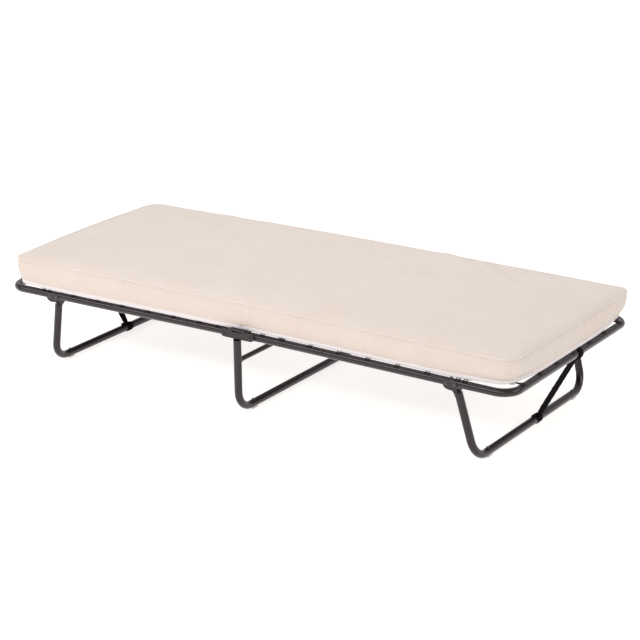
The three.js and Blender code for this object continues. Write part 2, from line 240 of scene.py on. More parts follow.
def combined(tree: Tree, **parts: object) -> Socket:
    """Joins numbers or sockets for X, Y and Z into one vector socket."""
    return add_node(tree, "ShaderNodeCombineXYZ", parts).outputs[0]


def new_group(name: str, kind: str, inputs: Sequence[tuple], outputs: Sequence[tuple]) -> tuple:
    """Starts a node group with named sockets.

    Args:
        name: the group's name.
        kind: ShaderNodeTree or GeometryNodeTree.
        inputs: (name, socket type, default or None) for each input.
        outputs: (name, socket type) for each output.

    Returns:
        The group, its input node and its output node.
    """
    group = bpy.data.node_groups.new(name, kind)
    for label, socket, default in inputs:
        made = group.interface.new_socket(label, in_out="INPUT", socket_type=socket)
        if default is not None:
            made.default_value = default
    for label, socket in outputs:
        group.interface.new_socket(label, in_out="OUTPUT", socket_type=socket)
    return group, group.nodes.new("NodeGroupInput"), group.nodes.new("NodeGroupOutput")


FLOAT = "NodeSocketFloat"
VECTOR = "NodeSocketVector"
GEOMETRY = "NodeSocketGeometry"


def grain_group() -> Tree:
    """Shader group for fine, even surface grain, with a slow change of tone over it.

    Returns:
        The group: Coordinates, Scale and Detail in, Height and Tone out.
    """
    group, given, result = new_group(
        "surface_grain", "ShaderNodeTree",
        [("Coordinates", VECTOR, None), ("Scale", FLOAT, 900.0), ("Slow Scale", FLOAT, 9.0)],
        [("Height", FLOAT), ("Tone", FLOAT)])
    fine = add_node(group, "ShaderNodeTexNoise", {
        "Vector": given.outputs["Coordinates"], "Scale": given.outputs["Scale"], "Detail": 3.0})
    slow = add_node(group, "ShaderNodeTexNoise", {
        "Vector": given.outputs["Coordinates"], "Scale": given.outputs["Slow Scale"],
        "Detail": 4.0, "Roughness": 0.6})
    group.links.new(fine.outputs["Fac"], result.inputs["Height"])
    group.links.new(slow.outputs["Fac"], result.inputs["Tone"])
    return group


def wear_group() -> Tree:
    """Shader group for handling marks: sparse, soft-edged rubs with fine scratches in them.

    Returns:
        The group: Coordinates, Scale and Amount in, Mask out.
    """
    group, given, result = new_group(
        "handling_marks", "ShaderNodeTree",
        [("Coordinates", VECTOR, None), ("Scale", FLOAT, 14.0), ("Amount", FLOAT, 0.4)],
        [("Mask", FLOAT)])
    patches = add_node(group, "ShaderNodeTexNoise", {
        "Vector": given.outputs["Coordinates"], "Scale": given.outputs["Scale"],
        "Detail": 5.0, "Roughness": 0.62})
    streaks = add_node(group, "ShaderNodeTexNoise", {
        "Vector": given.outputs["Coordinates"], "Scale": maths(
            group, "MULTIPLY", given.outputs["Scale"], 23.0), "Detail": 2.0})
    patch = add_node(group, "ShaderNodeMapRange", {
        "Value": patches.outputs["Fac"], "From Min": 0.56, "From Max": 0.74})
    streak = add_node(group, "ShaderNodeMapRange", {
        "Value": streaks.outputs["Fac"], "From Min": 0.42, "From Max": 0.7})
    both = maths(group, "MULTIPLY", patch.outputs["Result"], streak.outputs["Result"])
    group.links.new(maths(group, "MULTIPLY", both, given.outputs["Amount"], clamp=True),
                    result.inputs["Mask"])
    return group


def weave_group() -> Tree:
    """Shader group for a plain weave: round threads that pass over and under each other.

    Returns:
        The group: Coordinates in metres, Pitch and Slub in, Height and Shade out.
    """
    group, given, result = new_group(
        "plain_weave", "ShaderNodeTree",
        [("Coordinates", VECTOR, None), ("Pitch", FLOAT, 0.001), ("Slub", FLOAT, 0.35)],
        [("Height", FLOAT), ("Shade", FLOAT)])
    scaled = add_node(group, "ShaderNodeVectorMath", {
        0: given.outputs["Coordinates"],
        "Scale": maths(group, "DIVIDE", 1.0, given.outputs["Pitch"])}, operation="SCALE")
    parts = add_node(group, "ShaderNodeSeparateXYZ", {0: scaled.outputs["Vector"]})
    along, across = parts.outputs["X"], parts.outputs["Y"]
    cells = maths(group, "ADD", maths(group, "FLOOR", along), maths(group, "FLOOR", across))
    over = maths(group, "PINGPONG", cells, 1.0)
    under = maths(group, "SUBTRACT", 1.0, over)
    slub = add_node(group, "ShaderNodeTexNoise", {
        "Vector": add_node(group, "ShaderNodeVectorMath", {
            0: scaled.outputs["Vector"], 1: (0.02, 0.9, 0.9)}, operation="MULTIPLY").outputs[0],
        "Scale": 1.0, "Detail": 2.0})
    threads = []
    for place, lift in ((along, over), (across, under)):
        round_thread = maths(group, "ABSOLUTE", maths(
            group, "SINE", maths(group, "MULTIPLY", place, math.pi)))
        threads.append(maths(group, "MULTIPLY", round_thread, maths(
            group, "MULTIPLY_ADD", lift, 0.5, 0.5)))
    height = maths(group, "MAXIMUM", *threads)
    uneven = maths(group, "MULTIPLY", slub.outputs["Fac"], given.outputs["Slub"])
    group.links.new(height, result.inputs["Height"])
    group.links.new(maths(group, "SUBTRACT", maths(
        group, "MULTIPLY_ADD", height, 0.5, 0.5), uneven, clamp=True), result.inputs["Shade"])
    return group


# ---- finishes ----


class CoordinateSource(Enum):
    """Where a finish takes the place of a point on the surface from."""

    OBJECT = "Object"
    CLOTH_MAP = "UV"


@dataclass(frozen=True)
class Finish:
    """A surface finish that becomes one Blender material."""

    name: str
    slot: str
    colour: Colour
    roughness: float

    def material(self) -> bpy.types.Material:
        """The Blender material of this finish, made once and then shared."""
        made = bpy.data.materials.get(self.name)
        if made is None:
            made = bpy.data.materials.new(self.name)
            made.use_nodes = True
            made.diffuse_color = (*self.colour, 1.0)
            tree = made.node_tree
            shader = tree.nodes["Principled BSDF"]
            shader.inputs["Roughness"].default_value = self.roughness
            self.dress(tree, shader)
        return made

    def dress(self, tree: Tree, shader: Node) -> None:
        """Adds the nodes of this finish."""
        raise NotImplementedError

    @staticmethod
    def place_of(tree: Tree, source: CoordinateSource) -> Socket:
        """Adds the node that gives a point's place."""
        return add_node(tree, "ShaderNodeTexCoord").outputs[source.value]

    @staticmethod
    def group(tree: Tree, name: str, inputs: dict) -> Node:
        """Places one of the shared shader groups.

        Args:
            tree: the material's node tree.
            name: the group's name.
            inputs: its inputs.

        Returns:
            The group node.
        """
        makers = {"surface_grain": grain_group, "handling_marks": wear_group,
                  "plain_weave": weave_group}
        shared = bpy.data.node_groups.get(name) or makers[name]()
        return add_node(tree, "ShaderNodeGroup", inputs, node_tree=shared)

    @staticmethod
    def blend_colours(tree: Tree, share: object, first: object, second: object,
                      mode: str = "MIX") -> Socket:
        """Mixes two colours.

        Args:
            tree: the material's node tree.
            share: number or socket, 0 for the first colour and 1 for the second.
            first: colour or socket.
            second: colour or socket.
            mode: the blend type.

        Returns:
            The socket with the mixed colour.
        """
        pair = [colour if isinstance(colour, Socket) else (*colour, 1.0)
                for colour in (first, second)]
        made = add_node(tree, "ShaderNodeMix", {0: share, 6: pair[0], 7: pair[1]},
                        data_type="RGBA", blend_type=mode)
        return made.outputs[2]

    @staticmethod
    def bump(tree: Tree, shader: Node, height: Socket,
             depth: float, strength: float = 1.0) -> Node:
        """Feeds a height through a Bump node into the shader.

        Args:
            tree: the material's node tree.
            shader: its Principled BSDF.
            height: socket with the height, 0 to 1.
            depth: metres between heights 0 and 1.
            strength: share of the bump that shows.

        Returns:
            The Bump node.
        """
        made = add_node(tree, "ShaderNodeBump", {
            "Strength": strength, "Distance": depth, "Height": height})
        tree.links.new(made.outputs["Normal"], shader.inputs["Normal"])
        return made


@dataclass(frozen=True)
class PowderPaint(Finish):
    """Gloss powder coat on steel, with a little orange peel and a few rubs."""

    rub_colour: Colour = (0.055, 0.050, 0.052)
    peel_scale: float = 420.0
    peel_depth: float = 0.012 * MM

    def dress(self, tree: Tree, shader: Node) -> None:
        """Adds peel, tone changes and rubs.

        Args:
            tree: the material's node tree.
            shader: its Principled BSDF.
        """
        place = self.place_of(tree, CoordinateSource.OBJECT)
        grain = self.group(tree, "surface_grain", {
            "Coordinates": place, "Scale": self.peel_scale})
        rubs = self.group(tree, "handling_marks", {"Coordinates": place, "Amount": 0.5})
        darker = tuple(0.86 * c for c in self.colour)
        lighter = tuple(1.12 * c for c in self.colour)
        base = self.blend_colours(tree, grain.outputs["Tone"], darker, lighter)
        base = self.blend_colours(tree, rubs.outputs["Mask"], base, self.rub_colour)
        tree.links.new(base, shader.inputs["Base Color"])
        spread = maths(tree, "MULTIPLY_ADD", grain.outputs["Tone"], 0.12, self.roughness - 0.06)
        rough = maths(tree, "MULTIPLY_ADD", rubs.outputs["Mask"], 0.22, spread)
        tree.links.new(rough, shader.inputs["Roughness"])
        shader.inputs["Specular IOR Level"].default_value = 0.16
        shader.inputs["Specular Tint"].default_value = (1.0, 0.88, 0.96, 1.0)
        shader.inputs["Coat Weight"].default_value = 0.62
        shader.inputs["Coat Roughness"].default_value = 0.06
        self.bump(tree, shader, grain.outputs["Height"], self.peel_depth)


@dataclass(frozen=True)
class PlatedSteel(Finish):
    """Zinc plated steel of rivets, washers and spring wire."""

    metallic: float = 0.9
    grain_scale: float = 1500.0

    def dress(self, tree: Tree, shader: Node) -> None:
        """Adds the plating's fine grain and its cloudy tone.

        Args:
            tree: the material's node tree.
            shader: its Principled BSDF.
        """
        place = self.place_of(tree, CoordinateSource.OBJECT)
        grain = self.group(tree, "surface_grain", {
            "Coordinates": place, "Scale": self.grain_scale, "Slow Scale": 160.0})
        darker = tuple(0.7 * c for c in self.colour)
        base = self.blend_colours(tree, grain.outputs["Tone"], darker, self.colour)
        tree.links.new(base, shader.inputs["Base Color"])
        shader.inputs["Metallic"].default_value = self.metallic
        rough = maths(tree, "MULTIPLY_ADD", grain.outputs["Height"], 0.2, self.roughness - 0.1)
        tree.links.new(rough, shader.inputs["Roughness"])
        self.bump(tree, shader, grain.outputs["Height"], 0.01 * MM)


@dataclass(frozen=True)
class MouldedNylon(Finish):
    """Spark-textured moulded nylon."""

    def dress(self, tree: Tree, shader: Node) -> None:
        """Adds the mould's texture and scuffs.

        Args:
            tree: the material's node tree.
            shader: its Principled BSDF.
        """
        place = self.place_of(tree, CoordinateSource.OBJECT)
        grain = self.group(tree, "surface_grain", {"Coordinates": place, "Scale": 2200.0})
        rubs = self.group(tree, "handling_marks", {
            "Coordinates": place, "Scale": 60.0, "Amount": 0.6})
        scuffed = tuple(0.75 * c + 0.04 for c in self.colour)
        base = self.blend_colours(tree, rubs.outputs["Mask"], self.colour, scuffed)
        tree.links.new(base, shader.inputs["Base Color"])
        rough = maths(tree, "MULTIPLY_ADD", grain.outputs["Tone"], 0.16, self.roughness - 0.08)
        tree.links.new(rough, shader.inputs["Roughness"])
        self.bump(tree, shader, grain.outputs["Height"], 0.03 * MM)


@dataclass(frozen=True)
class WovenCloth(Finish):
    """Plain woven cloth that follows the piece's own cloth map, in metres."""

    pitch: float = 1.1 * MM
    thread_depth: float = 0.25 * MM
    slub: float = 0.35
    contrast: float = 0.14
    blotch: float = 0.05
    streaks: float = 0.07
    sheen: float = 0.25
    source: CoordinateSource = CoordinateSource.CLOTH_MAP

    def dress(self, tree: Tree, shader: Node) -> None:
        """Adds threads, uneven yarn and a slow change of colour.

        Args:
            tree: the material's node tree.
            shader: its Principled BSDF.
        """
        place = self.place_of(tree, self.source)
        weave = self.group(tree, "plain_weave", {
            "Coordinates": place, "Pitch": self.pitch, "Slub": self.slub})
        solid = self.place_of(tree, CoordinateSource.OBJECT)
        grain = self.group(tree, "surface_grain", {
            "Coordinates": solid, "Scale": 240.0, "Slow Scale": 5.5})
        hollows = tuple((1 - self.contrast) * c for c in self.colour)
        base = self.blend_colours(tree, weave.outputs["Shade"], hollows, self.colour)
        warm = tuple(c * (1 - self.blotch * k) for c, k in zip(self.colour, (0.4, 1.0, 1.6)))
        mixed = maths(tree, "MULTIPLY_ADD", grain.outputs["Tone"], 2.4, -0.85, clamp=True)
        tinted = self.blend_colours(tree, mixed, (1.0, 1.0, 1.0), tuple(
            w / c for w, c in zip(warm, self.colour)))
        shade = self.blend_colours(tree, 1.0, base, tinted, "MULTIPLY")
        tree.links.new(self.blend_colours(
            tree, 1.0, shade, self.yarn_streaks(tree, place), "MULTIPLY"),
            shader.inputs["Base Color"])
        shader.inputs["Sheen Weight"].default_value = self.sheen
        shader.inputs["Sheen Roughness"].default_value = 0.5
        shader.inputs["Specular IOR Level"].default_value = 0.25
        lint = maths(tree, "MULTIPLY_ADD", grain.outputs["Height"], 0.4, weave.outputs["Height"])
        self.bump(tree, shader, lint, self.thread_depth, 0.8)

    def yarn_streaks(self, tree: Tree, place: Socket) -> Socket:
        """Adds faint streaks of thicker yarn that run both ways in the cloth.

        Args:
            tree: the material's node tree.
            place: socket with the coordinates.

        Returns:
            The socket with a pale multiplier.
        """
        tones = []
        for stretch in ((260.0, 14.0, 1.0), (11.0, 230.0, 1.0)):
            along = add_node(tree, "ShaderNodeVectorMath", {0: place, 1: stretch},
                             operation="MULTIPLY")
            yarn = add_node(tree, "ShaderNodeTexNoise", {
                "Vector": along.outputs["Vector"], "Scale": 1.0, "Detail": 2.5})
            tones.append(maths(tree, "MULTIPLY_ADD", yarn.outputs["Fac"], 2.2, -0.6, clamp=True))
        both = maths(tree, "MULTIPLY", maths(tree, "ADD", *tones), 0.5)
        darkest = tuple(1 - self.streaks * k for k in (0.9, 1.0, 1.15))
        return self.blend_colours(tree, both, darkest, (1.0, 1.0, 1.0))


@dataclass(frozen=True)
class RibbedWebbing(Finish):
    """Elastic webbing with ribs along its length, by the piece's own cloth map."""

    rib_pitch: float = 1.6 * MM
    rib_colour: Colour = (0.012, 0.009, 0.010)

    def dress(self, tree: Tree, shader: Node) -> None:
        """Adds the ribs and the picks that cross them.

        Args:
            tree: the material's node tree.
            shader: its Principled BSDF.
        """
        place = self.place_of(tree, CoordinateSource.CLOTH_MAP)
        parts = add_node(tree, "ShaderNodeSeparateXYZ", {0: place})
        ribs = maths(tree, "ABSOLUTE", maths(tree, "SINE", maths(
            tree, "MULTIPLY", parts.outputs["X"], math.pi / self.rib_pitch)))
        picks = maths(tree, "ABSOLUTE", maths(tree, "SINE", maths(
            tree, "MULTIPLY", parts.outputs["Y"], 1.3 * math.pi / self.rib_pitch)))
        height = maths(tree, "MULTIPLY_ADD", picks, 0.45, ribs)
        base = self.blend_colours(tree, maths(tree, "MULTIPLY", height, 0.5, clamp=True),
                                  self.colour, self.rib_colour)
        tree.links.new(base, shader.inputs["Base Color"])
        shader.inputs["Specular IOR Level"].default_value = 0.08
        self.bump(tree, shader, height, 0.3 * MM, 0.9)


@dataclass(frozen=True)
class StudioPaper(Finish):
    """Plain pale floor, lit from below like a light table."""

    glow: float = 0.80

    def dress(self, tree: Tree, shader: Node) -> None:
        """Adds a faint change of tone.

        Args:
            tree: the material's node tree.
            shader: its Principled BSDF.
        """
        place = self.place_of(tree, CoordinateSource.OBJECT)
        grain = self.group(tree, "surface_grain", {"Coordinates": place, "Slow Scale": 0.8})
        base = self.blend_colours(tree, grain.outputs["Tone"], self.colour, tuple(
            0.985 * c for c in self.colour))
        tree.links.new(base, shader.inputs["Base Color"])
        shader.inputs["Specular IOR Level"].default_value = 0.1
        shader.inputs["Emission Color"].default_value = (1.0, 0.985, 0.97, 1.0)
        shader.inputs["Emission Strength"].default_value = self.glow


FRAME_PAINT = PowderPaint("charcoal_powder_paint", "frame_paint", (0.0130, 0.0072, 0.0100), 0.3)
RIVET_PLATING = PlatedSteel("rivet_plating", "zinc_steel", (0.10, 0.095, 0.10), 0.3, 0.7)
SPRING_WIRE = PlatedSteel("spring_wire", "zinc_steel", (0.012, 0.010, 0.010), 0.4, 0.5)
BLACK_NYLON = MouldedNylon("black_nylon", "nylon", (0.012, 0.011, 0.012), 0.5)
GLIDE_NYLON = MouldedNylon("natural_nylon", "glide_nylon", (0.62, 0.60, 0.56), 0.45)
STRAP_ELASTIC = RibbedWebbing("strap_elastic", "webbing", (0.0028, 0.0022, 0.0025), 0.85)
COVER_CLOTH = WovenCloth("cover_linen", "mattress_cloth", (0.685, 0.605, 0.55), 0.92)
CORD_CLOTH = WovenCloth(
    "cord_linen", "mattress_cloth", (0.69, 0.62, 0.585), 0.88, pitch=0.8 * MM,
    thread_depth=0.15 * MM, contrast=0.1, blotch=0.0, streaks=0.0)
EDGE_BINDING = WovenCloth(
    "edge_binding", "mattress_cloth", (0.71, 0.66, 0.68), 0.8, pitch=0.8 * MM,
    thread_depth=0.15 * MM, contrast=0.1, blotch=0.0, streaks=0.0)
SEAM_THREAD = WovenCloth(
    "seam_thread", "mattress_cloth", (0.82, 0.76, 0.72), 0.7, pitch=0.3 * MM,
    thread_depth=0.05 * MM, source=CoordinateSource.OBJECT)
DECK_CLOTH = WovenCloth(
    "deck_polypropylene", "deck_cloth", (0.05, 0.05, 0.055), 0.55, pitch=2.6 * MM,
    thread_depth=0.5 * MM, slub=0.1, contrast=0.5, sheen=0.1)
STUDIO_PAPER = StudioPaper("studio_paper", "", (0.55, 0.52, 0.49), 0.7)


# ---- mesh building ----


@dataclass
class Shell:
    """Points and faces of one closed surface, with an optional cloth map in metres."""

    points: np.ndarray
    faces: list[tuple[int, ...]]
    cloth_map: np.ndarray | None = None

    def moved(self, matrix: Matrix) -> "Shell":
        """A copy carried by a matrix.

        Args:
            matrix: the placing matrix.

        Returns:
            The placed shell.
        """
        placing = np.array(matrix)
        points = self.points @ placing[:3, :3].T + placing[:3, 3]
        return Shell(points, self.faces, self.cloth_map)


def placed(name: str, data: bpy.types.ID) -> Piece:
    """Makes an object of the data and links it to the scene."""
    made = bpy.data.objects.new(name, data)
    bpy.context.scene.collection.objects.link(made)
    return made


def make_piece(name: str, shells: Sequence[Shell], finish: Finish,
               crease: float = math.radians(38)) -> Piece:
    """Joins shells into one mesh object with a finish.

    Args:
        name: the piece's name.
        shells: closed surfaces, in the cot's space.
        finish: its surface finish.
        crease: edges sharper than this angle stay sharp.

    Returns:
        The new object, linked to the scene.
    """
    points, faces, start = [], [], 0
    for shell in shells:
        points.append(shell.points)
        faces += [tuple(i + start for i in face) for face in shell.faces]
        start += len(shell.points)
    mesh = bpy.data.meshes.new(name)
    mesh.from_pydata(np.vstack(points).tolist(), [], faces)
    if all(shell.cloth_map is not None for shell in shells):
        corners = np.vstack([shell.cloth_map for shell in shells]).astype(np.float32)
        mesh.uv_layers.new(name="cloth").data.foreach_set("uv", corners.ravel())
    turn_outwards(mesh)
    mesh.polygons.foreach_set("use_smooth", np.ones(len(mesh.polygons), bool))
    mesh.set_sharp_from_angle(angle=crease)
    mesh.materials.append(finish.material())
    return placed(name, mesh)


def turn_outwards(mesh: MeshData) -> None:
    """Makes every closed surface of a mesh face outwards.

    Args:
        mesh: the mesh to mend in place.
    """
    work = bmesh.new()
    work.from_mesh(mesh)
    bmesh.ops.recalc_face_normals(work, faces=work.faces)
    work.to_mesh(mesh)
    work.free()


def round_edges(piece: Piece, width: float, segments: int = 2) -> None:
    """Rounds the sharp edges of a piece with a Bevel modifier.

    Args:
        piece: the piece.
        width: width of the rounding.
        segments: faces across it.
    """
    bevel = piece.modifiers.new("rounded_edges", "BEVEL")
    bevel.width = width
    bevel.segments = segments
    bevel.limit_method = "ANGLE"
    bevel.angle_limit = math.radians(35)


def settle(piece: Piece, body: str, finish: Finish, *nodes: str) -> None:
    """Hands a finished piece to its body and hides the CAD nodes that it stands for.

    Args:
        piece: the piece.
        body: the body that it moves with.
        finish: not used.
        nodes: CAD nodes that it replaces.
    """
    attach(piece, body)
    if nodes:
        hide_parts(*nodes)
    report(piece, body)


def report(piece: Piece, body: str) -> None:
    """Logs a piece, its body and its number of faces."""
    LOG.info("%-28s on %-11s %7d faces", piece.name, body, len(piece.data.polygons))


def arc_points(x: float, y: float, radius: float, start: float, stop: float,
               steps: int = 12) -> Outline:
    """Points on an arc."""
    angles = [math.radians(start + (stop - start) * i / steps) for i in range(steps + 1)]
    return [(x + radius * math.cos(a), y + radius * math.sin(a)) for a in angles]


def bent_path(corners: Sequence[Sequence[float]], bend: float, steps: int = 14,
              straight: float = 0.12) -> np.ndarray:
    """A path through corners, each rounded to one bend radius.

    Args:
        corners: the path's corner points.
        bend: bend radius.
        steps: chords in each bend.
        straight: longest step on the straights.

    Returns:
        The path's points.
    """
    path = [Vector(corners[0])]
    for before, corner, after in zip(corners, corners[1:], corners[2:]):
        corner = Vector(corner)
        inward = (Vector(before) - corner).normalized()
        outward = (Vector(after) - corner).normalized()
        half = inward.angle(outward) / 2
        centre = corner + (inward + outward).normalized() * (bend / math.sin(half))
        spoke = corner + inward * (bend / math.tan(half)) - centre
        axis = (-inward).cross(outward).normalized()
        for i in range(steps + 1):
            turn = Matrix.Rotation((math.pi - 2 * half) * i / steps, 3, axis)
            path.append(centre + turn @ spoke)
    path.append(Vector(corners[-1]))
    fine = [path[0]]
    for here, there in zip(path, path[1:]):
        pieces = max(1, math.ceil((there - here).length / straight))
        fine += [here.lerp(there, (i + 1) / pieces) for i in range(pieces)]
    return np.array(fine)


def clamped(value: float) -> float:
    """Limits a value to between 0 and 1."""
    return min(1.0, max(0.0, value))


def unit(rows: np.ndarray) -> np.ndarray:
    """Scales each row to length 1."""
    return rows / np.linalg.norm(rows, axis=-1, keepdims=True)


def path_frames(path: np.ndarray, up: Sequence[float], closed: bool = False) -> tuple:
    """Directions across a path at each of its points, carried along without twist.

    Args:
        path: the path's points.
        up: first direction across, at the start.
        closed: whether the last point joins the first.

    Returns:
        Two arrays of unit vectors across the path.
    """
    ahead = np.roll(path, -1, axis=0) - path
    behind = path - np.roll(path, 1, axis=0)
    if not closed:
        ahead[-1], behind[0] = behind[-1], ahead[0]
    along = unit(unit(ahead) + unit(behind))
    first, second, carried = [], [], np.array(up, float)
    for direction in along:
        carried = unit(carried - (carried @ direction) * direction)
        first.append(carried)
        second.append(np.cross(direction, carried))
    return np.array(first), np.array(second)


def length_so_far(path: np.ndarray) -> np.ndarray:
    """Length of the path from its start to each of its points."""
    return np.concatenate([[0.0], np.cumsum(np.linalg.norm(np.diff(path, axis=0), axis=1))])


def sweep(path: np.ndarray, section: Outline, up: Sequence[float], closed: bool = False,
          scale: Callable[[float], tuple[float, float]] | None = None) -> Shell:
    """A solid made by moving a section along a path.

    Args:
        path: the path's points.
        section: outline of the section, first axis along up.
        up: direction of the section's first axis at the start.
        closed: whether the path joins up with itself.
        scale: from the share of the path's length done to the section's two scales.

    Returns:
        The closed shell, with a cloth map round and along it.
    """
    first, second = path_frames(path, up, closed)
    count, sides = len(path), len(section)
    reach = length_so_far(path)
    points = []
    for i in range(count):
        grow = scale(reach[i] / reach[-1]) if scale else (1.0, 1.0)
        points += [path[i] + a * grow[0] * first[i] + b * grow[1] * second[i] for a, b in section]
    round_it = [0.0]
    for here, there in zip(section, section[1:] + section[:1]):
        round_it.append(round_it[-1] + math.dist(here, there))
    faces, corners = [], []
    for i in range(count if closed else count - 1):
        for j in range(sides):
            on, side = (i + 1) % count, (j + 1) % sides
            faces.append((i * sides + j, i * sides + side, on * sides + side, on * sides + j))
            end = reach[i + 1] if i + 1 < count else reach[-1] + math.dist(path[-1], path[0])
            corners += [(round_it[j], reach[i]), (round_it[j + 1], reach[i]),
                        (round_it[j + 1], end), (round_it[j], end)]
    if not closed:
        faces.append(tuple(range(sides - 1, -1, -1)))
        faces.append(tuple((count - 1) * sides + j for j in range(sides)))
        corners += [tuple(section[j]) for j in range(sides - 1, -1, -1)]
        corners += [tuple(point) for point in section]
    return Shell(np.array(points), faces, np.array(corners, float))


def hollow_tube(path: np.ndarray, radius: float, wall: float, up: Sequence[float],
                sides: int = 32) -> Shell:
    """A tube with a wall, open at both ends.

    Args:
        path: its axis.
        radius: outer radius.
        wall: wall thickness.
        up: any direction across the path at its start.
        sides: sides of the section.

    Returns:
        The closed shell.
    """
    outer = sweep(path, arc_points(0, 0, radius, 0, 360, sides)[:-1], up)
    inner = sweep(path, arc_points(0, 0, radius - wall, 0, 360, sides)[:-1], up)
    total = len(outer.points)
    last = total - sides
    faces = list(outer.faces[:-2]) + [tuple(i + total for i in face[::-1])
                                      for face in inner.faces[:-2]]
    for j in range(sides):
        on = (j + 1) % sides
        faces.append((j, j + total, on + total, on))
        faces.append((last + on, last + on + total, last + j + total, last + j))
    return Shell(np.vstack([outer.points, inner.points]), faces)


def double_sheet(points: Sequence[Sequence[float]], rows: int, across_it: int) -> tuple:
    """Faces of two grids of points, one above the other, without the rim between them.

    Args:
        points: the upper grid's points, row by row, then the lower grid's.
        rows: rows in a grid.
        across_it: points in a row.

    Returns:
        The faces, and their cloth map by the points' X and Y.
    """
    faces, corners, below = [], [], rows * across_it
    for i in range(rows - 1):
        for j in range(across_it - 1):
            a, b = i * across_it + j, (i + 1) * across_it + j
            loop = (a, b, b + 1, a + 1)
            faces += [loop, tuple(k + below for k in (a, a + 1, b + 1, b))]
            spots = [points[k][:2] for k in loop]
            corners += spots + [spots[0], spots[3], spots[2], spots[1]]
    return faces, corners


def turned(profile: Outline, matrix: Matrix, sides: int = 28) -> Shell:
    """A turned piece about +Z, carried by a matrix.

    Args:
        profile: (radius, height) points from the axis back to the axis.
        matrix: the placing matrix.
        sides: sides of the turning.

    Returns:
        The closed shell.
    """
    points, rings, faces = [], [], []
    for radius, height in profile:
        if radius < 1e-9:
            rings.append([len(points)] * sides)
            points.append((0.0, 0.0, height))
            continue
        rings.append(list(range(len(points), len(points) + sides)))
        points += [(radius * math.cos(a), radius * math.sin(a), height)
                   for a in np.linspace(0, 2 * math.pi, sides, endpoint=False)]
    for low, high in zip(rings, rings[1:]):
        for j in range(sides):
            on = (j + 1) % sides
            face = dict.fromkeys((low[j], low[on], high[on], high[j]))
            if len(face) > 2:
                faces.append(tuple(face))
    return Shell(np.array(points), faces).moved(matrix)


def slab(outline: Outline, thickness: float, matrix: Matrix) -> Shell:
    """An outline drawn in the XZ plane, with a thickness along Y, carried by a matrix.

    Args:
        outline: its corners.
        thickness: thickness, centred on Y = 0.
        matrix: the placing matrix.

    Returns:
        The closed shell.
    """
    count = len(outline)
    points = [(x, side * thickness / 2, z) for side in (-1, 1) for x, z in outline]
    faces = [tuple(range(count)), tuple(range(2 * count - 1, count - 1, -1))]
    faces += [(i, i + count, (i + 1) % count + count, (i + 1) % count) for i in range(count)]
    return Shell(np.array(points), faces).moved(matrix)


def pin(radius: float, low: float, high: float, matrix: Matrix) -> Shell:
    """A round pin along Z between two levels, moved by the matrix."""
    return turned([(0, low), (radius, low), (radius, high), (0, high)], matrix)


def across(side: float) -> Matrix:
    """Matrix that turns +Z to point to +Y or -Y."""
    return Matrix.Rotation(-side * math.pi / 2, 4, "X")


# ---- repeated pieces, made by Geometry Nodes ----


@dataclass(frozen=True)
class Scatter:
    """Places on a body where copies of a repeated piece stand."""

    points: list[Vector]
    aims: list[Vector]
    sides: list[Vector] | None = None

    def grow(self, name: str, tree: Tree, inputs: dict) -> Piece:
        """Runs a tree on the points and keeps the result as a plain mesh.

        Args:
            name: name of the piece.
            tree: the Geometry Nodes tree.
            inputs: input name to value.

        Returns:
            The new object, linked to the scene.
        """
        mesh = bpy.data.meshes.new(name + "_points")
        mesh.from_pydata([tuple(p) for p in self.points], [], [])
        for label, rows in (("aim", self.aims), ("side", self.sides or self.aims)):
            values = np.array([tuple(row) for row in rows], np.float32)
            mesh.attributes.new(label, "FLOAT_VECTOR", "POINT").data.foreach_set(
                "vector", values.ravel())
        host = placed(name + "_points", mesh)
        modifier = host.modifiers.new(name, "NODES")
        modifier.node_group = tree
        for item in tree.interface.items_tree:
            if item.item_type == "SOCKET" and item.in_out == "INPUT" and item.name in inputs:
                modifier[item.identifier] = inputs[item.name]
        graph = bpy.context.evaluated_depsgraph_get()
        grown = bpy.data.meshes.new_from_object(host.evaluated_get(graph), depsgraph=graph)
        bpy.data.objects.remove(host)
        bpy.data.meshes.remove(mesh)
        grown.name = name
        return placed(name, grown)


def placed_copies(tree: Tree, given: Node, copy: Socket, result: Node) -> Tree:
    """Puts a copy on each point, Z along its aim and X along its side, as real geometry.

    Args:
        tree: the Geometry Nodes tree.
        given: the tree's input node, with the points and the material.
        copy: socket with the piece to copy.
        result: the tree's output node.

    Returns:
        The finished tree.
    """
    turn = None
    for label, axis in (("aim", "Z"), ("side", "X")):
        wanted = add_node(tree, "GeometryNodeInputNamedAttribute", {"Name": label},
                          data_type="FLOAT_VECTOR")
        fed = {"Vector": wanted.outputs["Attribute"]}
        if turn is not None:
            fed["Rotation"] = turn
        align = add_node(tree, "FunctionNodeAlignRotationToVector", fed, axis=axis)
        if turn is not None:
            align.pivot_axis = "Z"
        turn = align.outputs["Rotation"]
    copies = add_node(tree, "GeometryNodeInstanceOnPoints", {
        "Points": given.outputs["Geometry"], "Instance": copy, "Rotation": turn})
    real = add_node(tree, "GeometryNodeRealizeInstances", {
        "Geometry": copies.outputs["Instances"]})
    smooth = add_node(tree, "GeometryNodeSetShadeSmooth", {"Geometry": real.outputs["Geometry"]})
    painted = add_node(tree, "GeometryNodeSetMaterial", {
        "Geometry": smooth.outputs["Geometry"], "Material": given.outputs["Material"]})
    tree.links.new(painted.outputs["Geometry"], result.inputs["Geometry"])
    return tree


